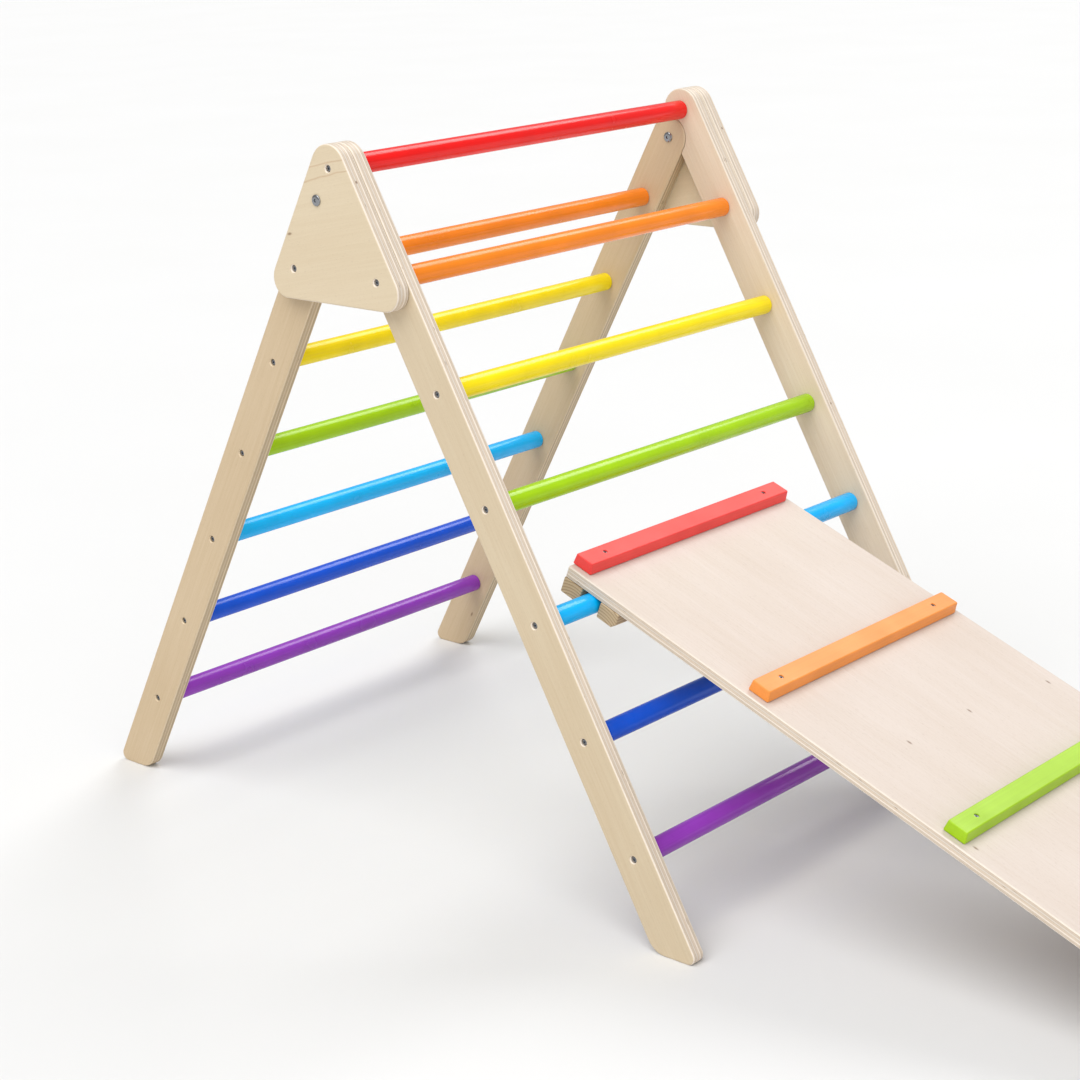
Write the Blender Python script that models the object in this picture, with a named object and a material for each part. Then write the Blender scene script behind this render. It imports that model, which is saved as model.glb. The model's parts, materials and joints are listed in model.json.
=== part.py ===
"""Climbing triangle with a hook-on cleated ramp.

Two plywood ladders lean together under a pair of side plates, and a plywood ramp hooks over
one rung of the front ladder. X runs from the rear ladder to the ramp, Y along the rungs and Z
up from the floor. Metres throughout. "left" is the -Y side and "right" the +Y side.
"""
from math import asin, atan2, ceil, cos, hypot, pi, radians, sin, tan

import bmesh
import bpy
from mathutils import Matrix, Vector

# --- frame ---
PLY = 0.018                   # thickness of the rails and of the side plates
RAIL_WIDTH = 0.054
INNER_WIDTH = 0.588           # between the inner faces of the two rails of a ladder
HALF_ANGLE = radians(29.15)   # lean of each ladder from the vertical
HEAD_CLEARANCE = 0.0025       # rear rail's round top to the top rung
PLATE_DROP = 0.152            # apex to the lower edge of the side plates
PLATE_CORNER = 0.022
FOOT_OUTER_RADIUS = 0.009
FOOT_INNER_RADIUS = 0.025
ROUND_OVER = 0.002            # softened plywood edges
NOTCH_CLEARANCE = 0.0006      # rear rail's round top inside the front rail's notch
PLATE_FRONT_RUNGS = 2         # front rungs whose screws go through the side plates
PLATE_REAR_RUNGS = 1          # rear rungs that the side plates' lock screws line up with

# --- rungs ---
RUNG_RADIUS = 0.012
RUNG_PITCH = 0.1375
BOTTOM_RUNG_HEIGHT = 0.1025   # axis of the lowest front rung above the floor
FIRST_REAR_RUNG = 0.0925      # pivot bolt to the first rear rung
RUNG_CHAMFER = 0.001
FRONT_COLOURS = ("red", "orange", "yellow", "lime", "light_blue", "blue", "purple")
REAR_COLOURS = ("orange", "yellow", "lime", "light_blue", "blue", "purple")

# --- fasteners ---
GAP = 0.0003                  # air between pieces that touch
SCREW_RADIUS = 0.0022
SCREW_HEAD_RADIUS = 0.0036
SCREW_HEAD_HEIGHT = 0.0026
SCREW_GRIP = 0.030            # length inside the rung
SOCKET_RADIUS = 0.0016
SOCKET_DEPTH = 0.0014
COUNTERBORE_RADIUS = 0.0041
COUNTERBORE_DEPTH = 0.005
LOCK_SCREW_BACK = 0.002       # the lock screws end this far inside the plate's inner face
BOLT_RADIUS = 0.003
BOLT_HEAD_RADIUS = 0.0065
BOLT_HEAD_HEIGHT = 0.002
BOLT_GRIP = 0.012             # length inside the sleeve nut
SLEEVE_RADIUS = 0.0042
SLEEVE_END_GAP = 0.001        # sleeve nut short of the rail's outer face
HEX_RADIUS = 0.0024
HEX_DEPTH = 0.0012

# --- ramp ---
RAMP_RUNG = 4                 # index of the front rung that carries the ramp
RAMP_LENGTH = 1.018
RAMP_WIDTH = 0.388
RAMP_THICKNESS = 0.015
RAMP_OFFSET = -0.026          # centre of the ramp from the centre of the frame
RAMP_TOE = 0.003              # height of the end face that the floor bevel takes off
BATTEN_WIDTH = 0.028
BATTEN_HEIGHT = 0.020
BATTEN_CHAMFER = 0.006
HOOK_CLEARANCE = 0.002        # rung to each batten
CLEAT_WIDTH = 0.028
CLEAT_TOP_WIDTH = 0.0245
CLEAT_HEIGHT = 0.014
CLEAT_INSET = 0.008           # cleat ends from the board's long edges
CLEAT_PITCH = 0.262
CLEAT_COLOURS = ("red", "orange", "lime", "light_blue")
CLEAT_ROUND = 0.0015

# --- mesh ---
RUNG_SEGMENTS = 32
SCREW_SEGMENTS = 12
BOLT_SEGMENTS = 24
HOLE_SEGMENTS = 20
ARC_STEP = radians(12)
BEVEL_ANGLE = radians(28)
BEVEL_SEGMENTS = 2
SAME_POINT = 1e-6             # outline points closer than this are one point

HALF_RAIL = RAIL_WIDTH / 2
PIVOT_DISTANCE = HALF_RAIL + RUNG_RADIUS + HEAD_CLEARANCE     # apex to pivot bolt, down the rear rail
APEX_HEIGHT = BOTTOM_RUNG_HEIGHT + (len(FRONT_COLOURS) - 1) * RUNG_PITCH * cos(HALF_ANGLE)
RAIL_INNER = INNER_WIDTH / 2
RAIL_OUTER = RAIL_INNER + PLY
PLATE_INNER = RAIL_OUTER + GAP
PLATE_OUTER = PLATE_INNER + PLY
SIDES = (("left", -1), ("right", 1))

ENAMEL_ROUGHNESS = 0.35
FINISHES = {                  # colour, roughness, metallic
    "red": ("#E8222A", ENAMEL_ROUGHNESS, 0.0),
    "orange": ("#FF8A30", ENAMEL_ROUGHNESS, 0.0),
    "yellow": ("#F5DE14", ENAMEL_ROUGHNESS, 0.0),
    "lime": ("#A8DC10", ENAMEL_ROUGHNESS, 0.0),
    "light_blue": ("#12AEEE", ENAMEL_ROUGHNESS, 0.0),
    "blue": ("#1458D8", ENAMEL_ROUGHNESS, 0.0),
    "purple": ("#9A50CE", ENAMEL_ROUGHNESS, 0.0),
    "ply": ("#E2D0B0", 0.5, 0.0),
    "pine": ("#C9AF86", 0.6, 0.0),
    "steel": ("#5C5E62", 0.35, 1.0),
    "bolt": ("#B8BBC0", 0.25, 1.0),
}


def srgb_to_linear(hex_code):
    """Turns a hex colour code into the linear RGBA that shader sockets take."""
    channels = [int(hex_code[i:i + 2], 16) / 255 for i in (1, 3, 5)]
    linear = [c / 12.92 if c <= 0.04045 else ((c + 0.055) / 1.055) ** 2.4 for c in channels]
    return (*linear, 1.0)


def make_material(name, finish):
    colour, roughness, metallic = FINISHES[finish]
    material = bpy.data.materials.new(name)
    material.use_nodes = True
    shader = material.node_tree.nodes["Principled BSDF"]
    shader.inputs["Base Color"].default_value = srgb_to_linear(colour)
    shader.inputs["Roughness"].default_value = roughness
    shader.inputs["Metallic"].default_value = metallic
    return material


def link_mesh(name, mesh_builder):
    """Makes a named object from a finished bmesh, its faces turned outwards."""
    bmesh.ops.recalc_face_normals(mesh_builder, faces=mesh_builder.faces)
    mesh = bpy.data.meshes.new(name)
    mesh_builder.to_mesh(mesh)
    mesh_builder.free()
    obj = bpy.data.objects.new(name, mesh)
    bpy.context.scene.collection.objects.link(obj)
    return obj


def add_object(name, mesh_builder, finish):
    """Makes a named object with its own material from a finished bmesh."""
    obj = link_mesh(name, mesh_builder)
    obj.data.materials.append(make_material(name + "_finish", finish))
    return obj


def bake(obj):
    """Replaces an object's mesh by its modified shape and clears the modifiers."""
    bpy.context.view_layer.update()
    evaluated = obj.evaluated_get(bpy.context.evaluated_depsgraph_get())
    mesh = bpy.data.meshes.new_from_object(evaluated)
    old = obj.data
    obj.modifiers.clear()
    obj.data = mesh
    bpy.data.meshes.remove(old)
    mesh.name = obj.name


def cut(obj, cutter_builder):
    """Subtracts a closed bmesh from an object."""
    cutter = link_mesh(obj.name + "_cutter", cutter_builder)
    boolean = obj.modifiers.new("cut", "BOOLEAN")
    boolean.operation = "DIFFERENCE"
    boolean.solver = "EXACT"
    boolean.object = cutter
    bake(obj)
    spare = cutter.data
    bpy.data.objects.remove(cutter)
    bpy.data.meshes.remove(spare)


def round_edges(obj, width):
    """Rounds every edge sharper than BEVEL_ANGLE."""
    bevel = obj.modifiers.new("round", "BEVEL")
    bevel.width = width
    bevel.segments = BEVEL_SEGMENTS
    bevel.limit_method = "ANGLE"
    bevel.angle_limit = BEVEL_ANGLE
    bake(obj)


def put_origin(obj, point):
    """Moves an object's origin to a world point without moving its shape."""
    obj.data.transform(Matrix.Translation(-point))
    obj.location = point


def rounded_outline(corners):
    """Turns convex corners (point, radius) into a polygon with each corner filleted."""
    points = []
    count = len(corners)
    for i, (corner, radius) in enumerate(corners):
        before = (corners[i - 1][0] - corner).normalized()
        after = (corners[(i + 1) % count][0] - corner).normalized()
        half = before.angle(after) / 2
        centre = corner + (before + after).normalized() * (radius / sin(half))
        start = corner + before * (radius / tan(half)) - centre
        sweep = pi - 2 * half
        turn = 1 if before.cross(after) < 0 else -1
        steps = max(2, ceil(sweep / ARC_STEP))
        for k in range(steps + 1):
            angle = turn * sweep * k / steps
            spoke = Vector((start.x * cos(angle) - start.y * sin(angle),
                            start.x * sin(angle) + start.y * cos(angle)))
            point = centre + spoke
            if not points or (point - points[-1]).length > SAME_POINT:
                points.append(point)
    if (points[0] - points[-1]).length < SAME_POINT:
        points.pop()
    return points


def prism(outline, y0, y1):
    """Extrudes an XZ polygon from y0 to y1."""
    builder = bmesh.new()
    rings = [[builder.verts.new((p.x, y, p.y)) for p in outline] for y in (y0, y1)]
    for ring in rings:
        builder.faces.new(ring)
    count = len(outline)
    for i in range(count):
        j = (i + 1) % count
        builder.faces.new((rings[0][i], rings[0][j], rings[1][j], rings[1][i]))
    return builder


def add_turned(builder, centre, profile, segments):
    """Adds a solid turned about an axis along Y through an XZ centre.

    profile lists (y, radius) or (y, radius, "hex"); its first and last radius are 0.
    """
    rings = []
    for y, radius, *shape in profile:
        if radius == 0:
            rings.append([builder.verts.new((centre.x, y, centre.y))])
            continue
        ring = []
        for k in range(segments):
            angle = 2 * pi * k / segments
            flat = cos(pi / 6) / cos((angle % (pi / 3)) - pi / 6) if shape else 1
            ring.append(builder.verts.new((centre.x + radius * flat * cos(angle), y,
                                           centre.y + radius * flat * sin(angle))))
        rings.append(ring)
    for low, high in zip(rings, rings[1:]):
        for k in range(segments):
            j = (k + 1) % segments
            if len(low) == 1:
                builder.faces.new((low[0], high[k], high[j]))
            elif len(high) == 1:
                builder.faces.new((low[k], high[0], low[j]))
            else:
                builder.faces.new((low[k], high[k], high[j], low[j]))


def turned(centre, profile, segments):
    """Makes a bmesh that holds one turned solid."""
    builder = bmesh.new()
    add_turned(builder, centre, profile, segments)
    return builder


# --- layout, in the XZ plane ---

APEX = Vector((0, APEX_HEIGHT))
FRONT_DOWN = Vector((sin(HALF_ANGLE), -cos(HALF_ANGLE)))
REAR_DOWN = Vector((-sin(HALF_ANGLE), -cos(HALF_ANGLE)))
PIVOT = APEX + REAR_DOWN * PIVOT_DISTANCE


def front_rung_centre(index):
    return APEX + FRONT_DOWN * RUNG_PITCH * index


def rear_rung_centre(index):
    return PIVOT + REAR_DOWN * (FIRST_REAR_RUNG + RUNG_PITCH * index)


HOOK = front_rung_centre(RAMP_RUNG)
RAMP_BASE = RUNG_RADIUS + GAP                                 # board's underside over the rung
RAMP_START = -(RUNG_RADIUS + HOOK_CLEARANCE + BATTEN_WIDTH)   # upper end, along the board
RAMP_END = RAMP_START + RAMP_LENGTH
TOE_LEVEL = RAMP_BASE + RAMP_TOE
RAMP_SLOPE = asin(HOOK.y / hypot(RAMP_END, TOE_LEVEL)) + atan2(TOE_LEVEL, RAMP_END)
RAMP_SIDES = (RAMP_OFFSET - RAMP_WIDTH / 2, RAMP_OFFSET + RAMP_WIDTH / 2)


def on_ramp(along, over):
    """XZ point at a distance along the board from the hook rung, and over the rung's axis."""
    return HOOK + Vector((along * cos(RAMP_SLOPE) + over * sin(RAMP_SLOPE),
                          over * cos(RAMP_SLOPE) - along * sin(RAMP_SLOPE)))


# --- frame pieces ---

def rail_outline(top, down, clearance=0.0):
    """Rail with a round top about a point and a foot cut level with the floor."""
    across = Vector((-down.y, down.x))        # to the front side of the frame
    half = HALF_RAIL + clearance
    head = top - down * half
    front_foot_radius, back_foot_radius = FOOT_OUTER_RADIUS, FOOT_INNER_RADIUS
    if down.x < 0:
        front_foot_radius, back_foot_radius = back_foot_radius, front_foot_radius
    corners = []
    for side, foot_radius in ((1, front_foot_radius), (-1, back_foot_radius)):
        edge = head + across * half * side
        foot = edge + down * (edge.y / -down.y)
        corners.append([(edge, half), (foot, foot_radius)])
    (head_front, foot_front), (head_back, foot_back) = corners
    return rounded_outline([head_front, foot_front, foot_back, head_back])


def hole_profile(outer, depth, bore, counterbored, sign):
    """Turned cutter for a screw hole, from outside a face to past the other one."""
    past = ROUND_OVER
    profile = [(sign * (outer + past), 0)]
    if counterbored:
        seat = sign * (outer - COUNTERBORE_DEPTH)
        profile.append((sign * (outer + past), COUNTERBORE_RADIUS))
        profile += [(seat, COUNTERBORE_RADIUS), (seat, bore)]
    else:
        profile.append((sign * (outer + past), bore))
    end = sign * (outer - depth - past)
    return profile + [(end, bore), (end, 0)]


def drill(obj, centres, outer, sign, counterbored, bore=SCREW_RADIUS + GAP):
    """Drills one row of holes through a sheet whose outer face is at |y| = outer."""
    builder = bmesh.new()
    for centre, sunk in zip(centres, counterbored):
        add_turned(builder, centre, hole_profile(outer, PLY, bore, sunk, sign), HOLE_SEGMENTS)
    cut(obj, builder)


def make_front_rail(name, sign):
    outline = rail_outline(APEX, FRONT_DOWN)
    rail = add_object(name, prism(outline, sign * RAIL_INNER, sign * RAIL_OUTER), "ply")
    notch = prism(rail_outline(PIVOT, REAR_DOWN, NOTCH_CLEARANCE),
                  sign * (RAIL_INNER - PLY), sign * (RAIL_OUTER + PLY))
    cut(rail, notch)
    round_edges(rail, ROUND_OVER)
    centres = [front_rung_centre(i) for i in range(len(FRONT_COLOURS))]
    drill(rail, centres, RAIL_OUTER, sign, [i >= PLATE_FRONT_RUNGS for i in range(len(centres))])
    return rail


def make_rear_rail(name, sign):
    outline = rail_outline(PIVOT, REAR_DOWN)
    rail = add_object(name, prism(outline, sign * RAIL_INNER, sign * RAIL_OUTER), "ply")
    round_edges(rail, ROUND_OVER)
    centres = [rear_rung_centre(i) for i in range(len(REAR_COLOURS))]
    drill(rail, centres, RAIL_OUTER, sign, [i >= PLATE_REAR_RUNGS for i in range(len(centres))])
    drill(rail, [PIVOT], RAIL_OUTER, sign, [False], SLEEVE_RADIUS + GAP)
    return rail


def make_side_plate(name, sign):
    """Rounded triangle whose sloping sides line up with the rails' outer edges."""
    low = APEX_HEIGHT - PLATE_DROP
    top = APEX + Vector((0, HALF_RAIL / sin(HALF_ANGLE)))
    reach = (top.y - low) * tan(HALF_ANGLE)
    corners = [(top, HALF_RAIL), (Vector((reach, low)), PLATE_CORNER),
               (Vector((-reach, low)), PLATE_CORNER)]
    outline = rounded_outline(corners)
    plate = add_object(name, prism(outline, sign * PLATE_INNER, sign * PLATE_OUTER), "ply")
    round_edges(plate, ROUND_OVER)
    screws = [front_rung_centre(i) for i in range(PLATE_FRONT_RUNGS)]
    screws += [rear_rung_centre(i) for i in range(PLATE_REAR_RUNGS)]
    drill(plate, screws, PLATE_OUTER, sign, [True] * len(screws))
    drill(plate, [PIVOT], PLATE_OUTER, sign, [False], BOLT_RADIUS + GAP)
    return plate


def make_rung(name, centre, colour):
    """Dowel with a pilot hole in each end."""
    end = RAIL_INNER - GAP
    pilot = SCREW_RADIUS + GAP
    bottom = end - SCREW_GRIP - pilot
    half = [(bottom, 0), (bottom + pilot, pilot), (end, pilot),
            (end, RUNG_RADIUS - RUNG_CHAMFER), (end - RUNG_CHAMFER, RUNG_RADIUS)]
    profile = [(-y, r) for y, r in half] + half[::-1]
    return add_object(name, turned(centre, profile, RUNG_SEGMENTS), colour)


def make_screw(name, centre, sign, outer, length):
    """Pan screw: its head sits in the counterbore, its shank runs inwards."""
    seat = outer - COUNTERBORE_DEPTH + GAP
    face = seat + SCREW_HEAD_HEIGHT
    tip = seat - length
    floor = face - SOCKET_DEPTH
    profile = [(floor, 0), (floor, SOCKET_RADIUS, "hex"), (face, SOCKET_RADIUS, "hex"),
               (face, SCREW_HEAD_RADIUS), (seat, SCREW_HEAD_RADIUS), (seat, SCREW_RADIUS),
               (tip + SCREW_RADIUS, SCREW_RADIUS), (tip, 0)]
    profile = [(sign * y, *rest) for y, *rest in profile]
    return add_object(name, turned(centre, profile, SCREW_SEGMENTS), "steel")


def make_pivot_bolt(name, sign):
    """Bolt through the side plate into the sleeve nut, its head on the plate's outer face."""
    seat = PLATE_OUTER + GAP
    face = seat + BOLT_HEAD_HEIGHT
    floor = face - HEX_DEPTH
    tip = RAIL_OUTER - SLEEVE_END_GAP - BOLT_GRIP
    profile = [(floor, 0), (floor, HEX_RADIUS, "hex"), (face, HEX_RADIUS, "hex"),
               (face, BOLT_HEAD_RADIUS), (seat, BOLT_HEAD_RADIUS), (seat, BOLT_RADIUS),
               (tip, BOLT_RADIUS), (tip, 0)]
    profile = [(sign * y, *rest) for y, *rest in profile]
    return add_object(name, turned(PIVOT, profile, BOLT_SEGMENTS), "bolt")


def make_pivot_nut(name, sign):
    """Sleeve nut: a flanged head on the rail's inner face and a bored sleeve through the rail."""
    seat = RAIL_INNER - GAP
    face = seat - BOLT_HEAD_HEIGHT
    floor = face + HEX_DEPTH
    mouth = RAIL_OUTER - SLEEVE_END_GAP
    bore_end = mouth - BOLT_GRIP - GAP
    bore = BOLT_RADIUS + GAP
    profile = [(floor, 0), (floor, HEX_RADIUS, "hex"), (face, HEX_RADIUS, "hex"),
               (face, BOLT_HEAD_RADIUS), (seat, BOLT_HEAD_RADIUS), (seat, SLEEVE_RADIUS),
               (mouth, SLEEVE_RADIUS), (mouth, bore), (bore_end, bore), (bore_end, 0)]
    profile = [(sign * y, *rest) for y, *rest in profile]
    return add_object(name, turned(PIVOT, profile, BOLT_SEGMENTS), "bolt")


# --- ramp pieces ---

def make_ramp_board():
    """Board whose lower end is cut level with the floor."""
    top = RAMP_BASE + RAMP_THICKNESS
    toe_start = (HOOK.y + RAMP_BASE * cos(RAMP_SLOPE)) / sin(RAMP_SLOPE)
    outline = [on_ramp(RAMP_START, RAMP_BASE), on_ramp(RAMP_START, top), on_ramp(RAMP_END, top),
               on_ramp(RAMP_END, TOE_LEVEL), on_ramp(toe_start, RAMP_BASE)]
    board = add_object("ramp_board", prism(outline, *RAMP_SIDES), "ply")
    round_edges(board, ROUND_OVER)
    return board


def make_cleat(name, colour, start):
    """Grip strip with sloping sides, fixed across the board."""
    base = RAMP_BASE + RAMP_THICKNESS + GAP
    top = base + CLEAT_HEIGHT
    slope = (CLEAT_WIDTH - CLEAT_TOP_WIDTH) / 2
    outline = [on_ramp(start, base), on_ramp(start + slope, top),
               on_ramp(start + CLEAT_WIDTH - slope, top), on_ramp(start + CLEAT_WIDTH, base)]
    ends = (RAMP_SIDES[0] + CLEAT_INSET, RAMP_SIDES[1] - CLEAT_INSET)
    cleat = add_object(name, prism(outline, *ends), colour)
    round_edges(cleat, CLEAT_ROUND)
    return cleat


def make_batten(name, start, chamfered):
    """Strip under the board; two of them stand either side of the hook rung."""
    top = RAMP_BASE - GAP
    low = top - BATTEN_HEIGHT
    end = start + BATTEN_WIDTH
    outline = [on_ramp(start, low), on_ramp(start, top), on_ramp(end, top)]
    if chamfered:
        outline += [on_ramp(end, low + BATTEN_CHAMFER), on_ramp(end - BATTEN_CHAMFER, low)]
    else:
        outline.append(on_ramp(end, low))
    batten = add_object(name, prism(outline, *RAMP_SIDES), "pine")
    round_edges(batten, CLEAT_ROUND)
    return batten


# --- assemblies ---

def make_frame():
    """Front ladder, side plates and pivot bolts."""
    plate_screw = PLATE_OUTER - COUNTERBORE_DEPTH - RAIL_INNER + SCREW_GRIP
    rail_screw = PLY - COUNTERBORE_DEPTH + SCREW_GRIP
    lock_screw = PLY - COUNTERBORE_DEPTH - LOCK_SCREW_BACK
    for side, sign in SIDES:
        make_side_plate("side_plate_" + side, sign)
        make_front_rail("front_rail_" + side, sign)
        make_pivot_bolt("pivot_bolt_" + side, sign)
        make_screw("lock_screw_" + side, rear_rung_centre(0), sign, PLATE_OUTER, lock_screw)
        for i in range(len(FRONT_COLOURS)):
            name = f"front_screw_{i + 1}_{side}"
            if i < PLATE_FRONT_RUNGS:
                make_screw(name, front_rung_centre(i), sign, PLATE_OUTER, plate_screw)
            else:
                make_screw(name, front_rung_centre(i), sign, RAIL_OUTER, rail_screw)
    for i, colour in enumerate(FRONT_COLOURS):
        rung = make_rung(f"front_rung_{i + 1}_{colour}", front_rung_centre(i), colour)
        if i == RAMP_RUNG:
            put_origin(rung, Vector((HOOK.x, 0, HOOK.y)))


def make_rear_ladder():
    """Rear rails and rungs, which swing together about the pivot bolts."""
    rail_screw = PLY - COUNTERBORE_DEPTH + SCREW_GRIP
    pieces = []
    for side, sign in SIDES:
        pieces.append(make_rear_rail("rear_rail_" + side, sign))
        pieces.append(make_pivot_nut("pivot_nut_" + side, sign))
        for i in range(PLATE_REAR_RUNGS, len(REAR_COLOURS)):
            name = f"rear_screw_{i + 1}_{side}"
            pieces.append(make_screw(name, rear_rung_centre(i), sign, RAIL_OUTER, rail_screw))
    for i, colour in enumerate(REAR_COLOURS):
        pieces.append(make_rung(f"rear_rung_{i + 1}_{colour}", rear_rung_centre(i), colour))
    for piece in pieces:
        put_origin(piece, Vector((PIVOT.x, 0, PIVOT.y)))


def make_ramp():
    """Board, cleats and hook battens, which tilt on the hook rung and lift off it."""
    pieces = [make_ramp_board(),
              make_batten("ramp_batten_upper", RAMP_START, False),
              make_batten("ramp_batten_lower", RUNG_RADIUS + HOOK_CLEARANCE, True)]
    for i, colour in enumerate(CLEAT_COLOURS):
        start = RAMP_START + CLEAT_PITCH * i
        pieces.append(make_cleat(f"ramp_cleat_{i + 1}_{colour}", colour, start))
    for piece in pieces:
        put_origin(piece, Vector((HOOK.x, 0, HOOK.y)))


def centre_on_floor():
    """Moves the whole part in X so that the origin is at the middle of its footprint."""
    objects = list(bpy.context.scene.collection.objects)
    bpy.context.view_layer.update()
    xs = [(obj.matrix_world @ vertex.co).x for obj in objects for vertex in obj.data.vertices]
    middle = (min(xs) + max(xs)) / 2
    for obj in objects:
        obj.location.x -= middle


def main():
    for obj in list(bpy.data.objects):
        bpy.data.objects.remove(obj)
    make_frame()
    make_rear_ladder()
    make_ramp()
    centre_on_floor()


main()
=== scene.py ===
"""Finished look of a climbing triangle with a hook-on cleated ramp.

Two birch plywood ladders with enamelled rungs lean together under a pair of side plates, and a
plywood ramp with painted cleats hooks over one rung of the front ladder. X runs from the rear
ladder to the ramp, Y along the rungs and Z up from the floor. Metres throughout.
"""
import json
import logging
from collections.abc import Sequence
from dataclasses import dataclass, field
from enum import Enum
from math import asin, atan2, cos, pi, radians, sin, tan
from typing import Any

import bpy
import numpy as np
from mathutils import Matrix, Vector
from mathutils.geometry import delaunay_2d_cdt


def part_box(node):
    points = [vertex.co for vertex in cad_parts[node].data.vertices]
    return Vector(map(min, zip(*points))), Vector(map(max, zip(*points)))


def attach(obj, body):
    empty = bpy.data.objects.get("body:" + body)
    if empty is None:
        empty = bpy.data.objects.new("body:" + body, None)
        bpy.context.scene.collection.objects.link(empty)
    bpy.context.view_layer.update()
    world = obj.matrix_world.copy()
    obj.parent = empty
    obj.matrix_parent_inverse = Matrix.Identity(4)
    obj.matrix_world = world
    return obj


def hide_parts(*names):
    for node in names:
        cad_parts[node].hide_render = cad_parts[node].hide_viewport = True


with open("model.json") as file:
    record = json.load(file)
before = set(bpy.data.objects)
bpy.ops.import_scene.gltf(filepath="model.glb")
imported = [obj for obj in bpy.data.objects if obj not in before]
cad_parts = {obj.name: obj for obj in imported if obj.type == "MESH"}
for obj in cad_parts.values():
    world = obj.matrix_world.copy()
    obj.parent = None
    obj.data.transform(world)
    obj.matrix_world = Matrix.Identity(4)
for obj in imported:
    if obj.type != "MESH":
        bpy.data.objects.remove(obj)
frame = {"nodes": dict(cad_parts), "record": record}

LOG = logging.getLogger("climbing_triangle")
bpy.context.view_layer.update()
SAME_PLACE = 1e-7             # corners closer than this are one vertex
SMALLEST_AREA = 1e-13         # triangles under this have no width
ARC_POINTS = 13               # along each rounded corner of an outline
ROUND_POINTS = 5              # across each softened edge
SHOULDER_POINTS = 6           # up each rounded shoulder of a turned shape
HOLE_SEGMENTS = 36
NOTCH_SAMPLES = 6000          # down a rail's side, to find where its notch starts and ends
SOFT_CREASE = 0.8             # cosine under which two bands of a turned shape stay apart
Array = np.ndarray


# --- shapes ---

@dataclass(frozen=True)
class Seat:
    """A piece's own axes: u and v in its face and w through its thickness.

    Attributes:
        origin: the world point where u, v and w are zero.
        axes: one world direction per row, for u, v and w.
    """

    origin: Array
    axes: Array

    def shifted(self, u: float = 0.0, v: float = 0.0, w: float = 0.0) -> "Seat":
        """Returns the seat moved along its own axes."""
        return Seat(self.origin + np.array([u, v, w]) @ self.axes, self.axes)


@dataclass(frozen=True)
class Surface:
    """Triangles of a closed shape, each corner with its place and its shading normal."""

    places: Array
    normals: Array

    @staticmethod
    def joined(parts: Sequence["Surface"]) -> "Surface":
        """Returns one surface that holds the triangles of them all."""
        return Surface(np.concatenate([part.places for part in parts]),
                       np.concatenate([part.normals for part in parts]))

    def seated(self, seat: Seat) -> "Surface":
        """Carries the surface from its own u, v, w to the world: origin + (u, v, w) times the axes.

        Args:
            seat: the axes; a left-handed set also turns the triangles' order round.

        Returns:
            The surface in world coordinates.
        """
        places, normals = seat.origin + self.places @ seat.axes, self.normals @ seat.axes
        if np.linalg.det(seat.axes) < 0:
            places, normals = places[:, ::-1], normals[:, ::-1]
        return Surface(places, normals)

    def piece(self, name: str, finish: bpy.types.Material) -> bpy.types.Object:
        """Welds the corners that share a place and makes a mesh object at the origin.

        Args:
            name: the object's name.
            finish: its material.

        Returns:
            The object, with each corner's normal kept as a custom normal.
        """
        keys = np.round(self.places.reshape(-1, 3) / SAME_PLACE).astype(np.int64)
        _, first, corner = np.unique(keys, axis=0, return_index=True, return_inverse=True)
        corner = corner.reshape(-1, 3)
        real = (corner != np.roll(corner, 1, axis=1)).all(axis=1)
        corner, normals = corner[real], self.normals[real]
        mesh = bpy.data.meshes.new(name)
        mesh.vertices.add(len(first))
        mesh.vertices.foreach_set("co", self.places.reshape(-1, 3)[first].ravel())
        mesh.loops.add(corner.size)
        mesh.loops.foreach_set("vertex_index", corner.ravel())
        mesh.polygons.add(len(corner))
        mesh.polygons.foreach_set("loop_start", np.arange(len(corner)) * 3)
        mesh.polygons.foreach_set("use_smooth", np.ones(len(corner), bool))
        mesh.update(calc_edges=True)
        mesh.normals_split_custom_set(normals.reshape(-1, 3).tolist())
        mesh.materials.append(finish)
        piece = bpy.data.objects.new(name, mesh)
        bpy.context.scene.collection.objects.link(piece)
        return piece


@dataclass(frozen=True)
class Outline:
    """A closed counter-clockwise line in a plane, with the outward normal at each point."""

    points: Array
    normals: Array

    @staticmethod
    def joined(parts: Sequence["Outline"]) -> "Outline":
        """Joins lines end to end and drops a point that repeats the one before it."""
        points = np.concatenate([part.points for part in parts])
        normals = np.concatenate([part.normals for part in parts])
        moved = np.linalg.norm(points - np.roll(points, 1, axis=0), axis=1) > SAME_PLACE
        return Outline(points[moved], normals[moved])


@dataclass(frozen=True)
class Hole:
    """A round hole sunk from a sheet's upper face.

    Attributes:
        centre: its place in the sheet's u and v.
        steps: radius and depth at each change of its wall, from the upper face down.
    """

    centre: tuple[float, float]
    steps: tuple[tuple[float, float], ...]


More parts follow.
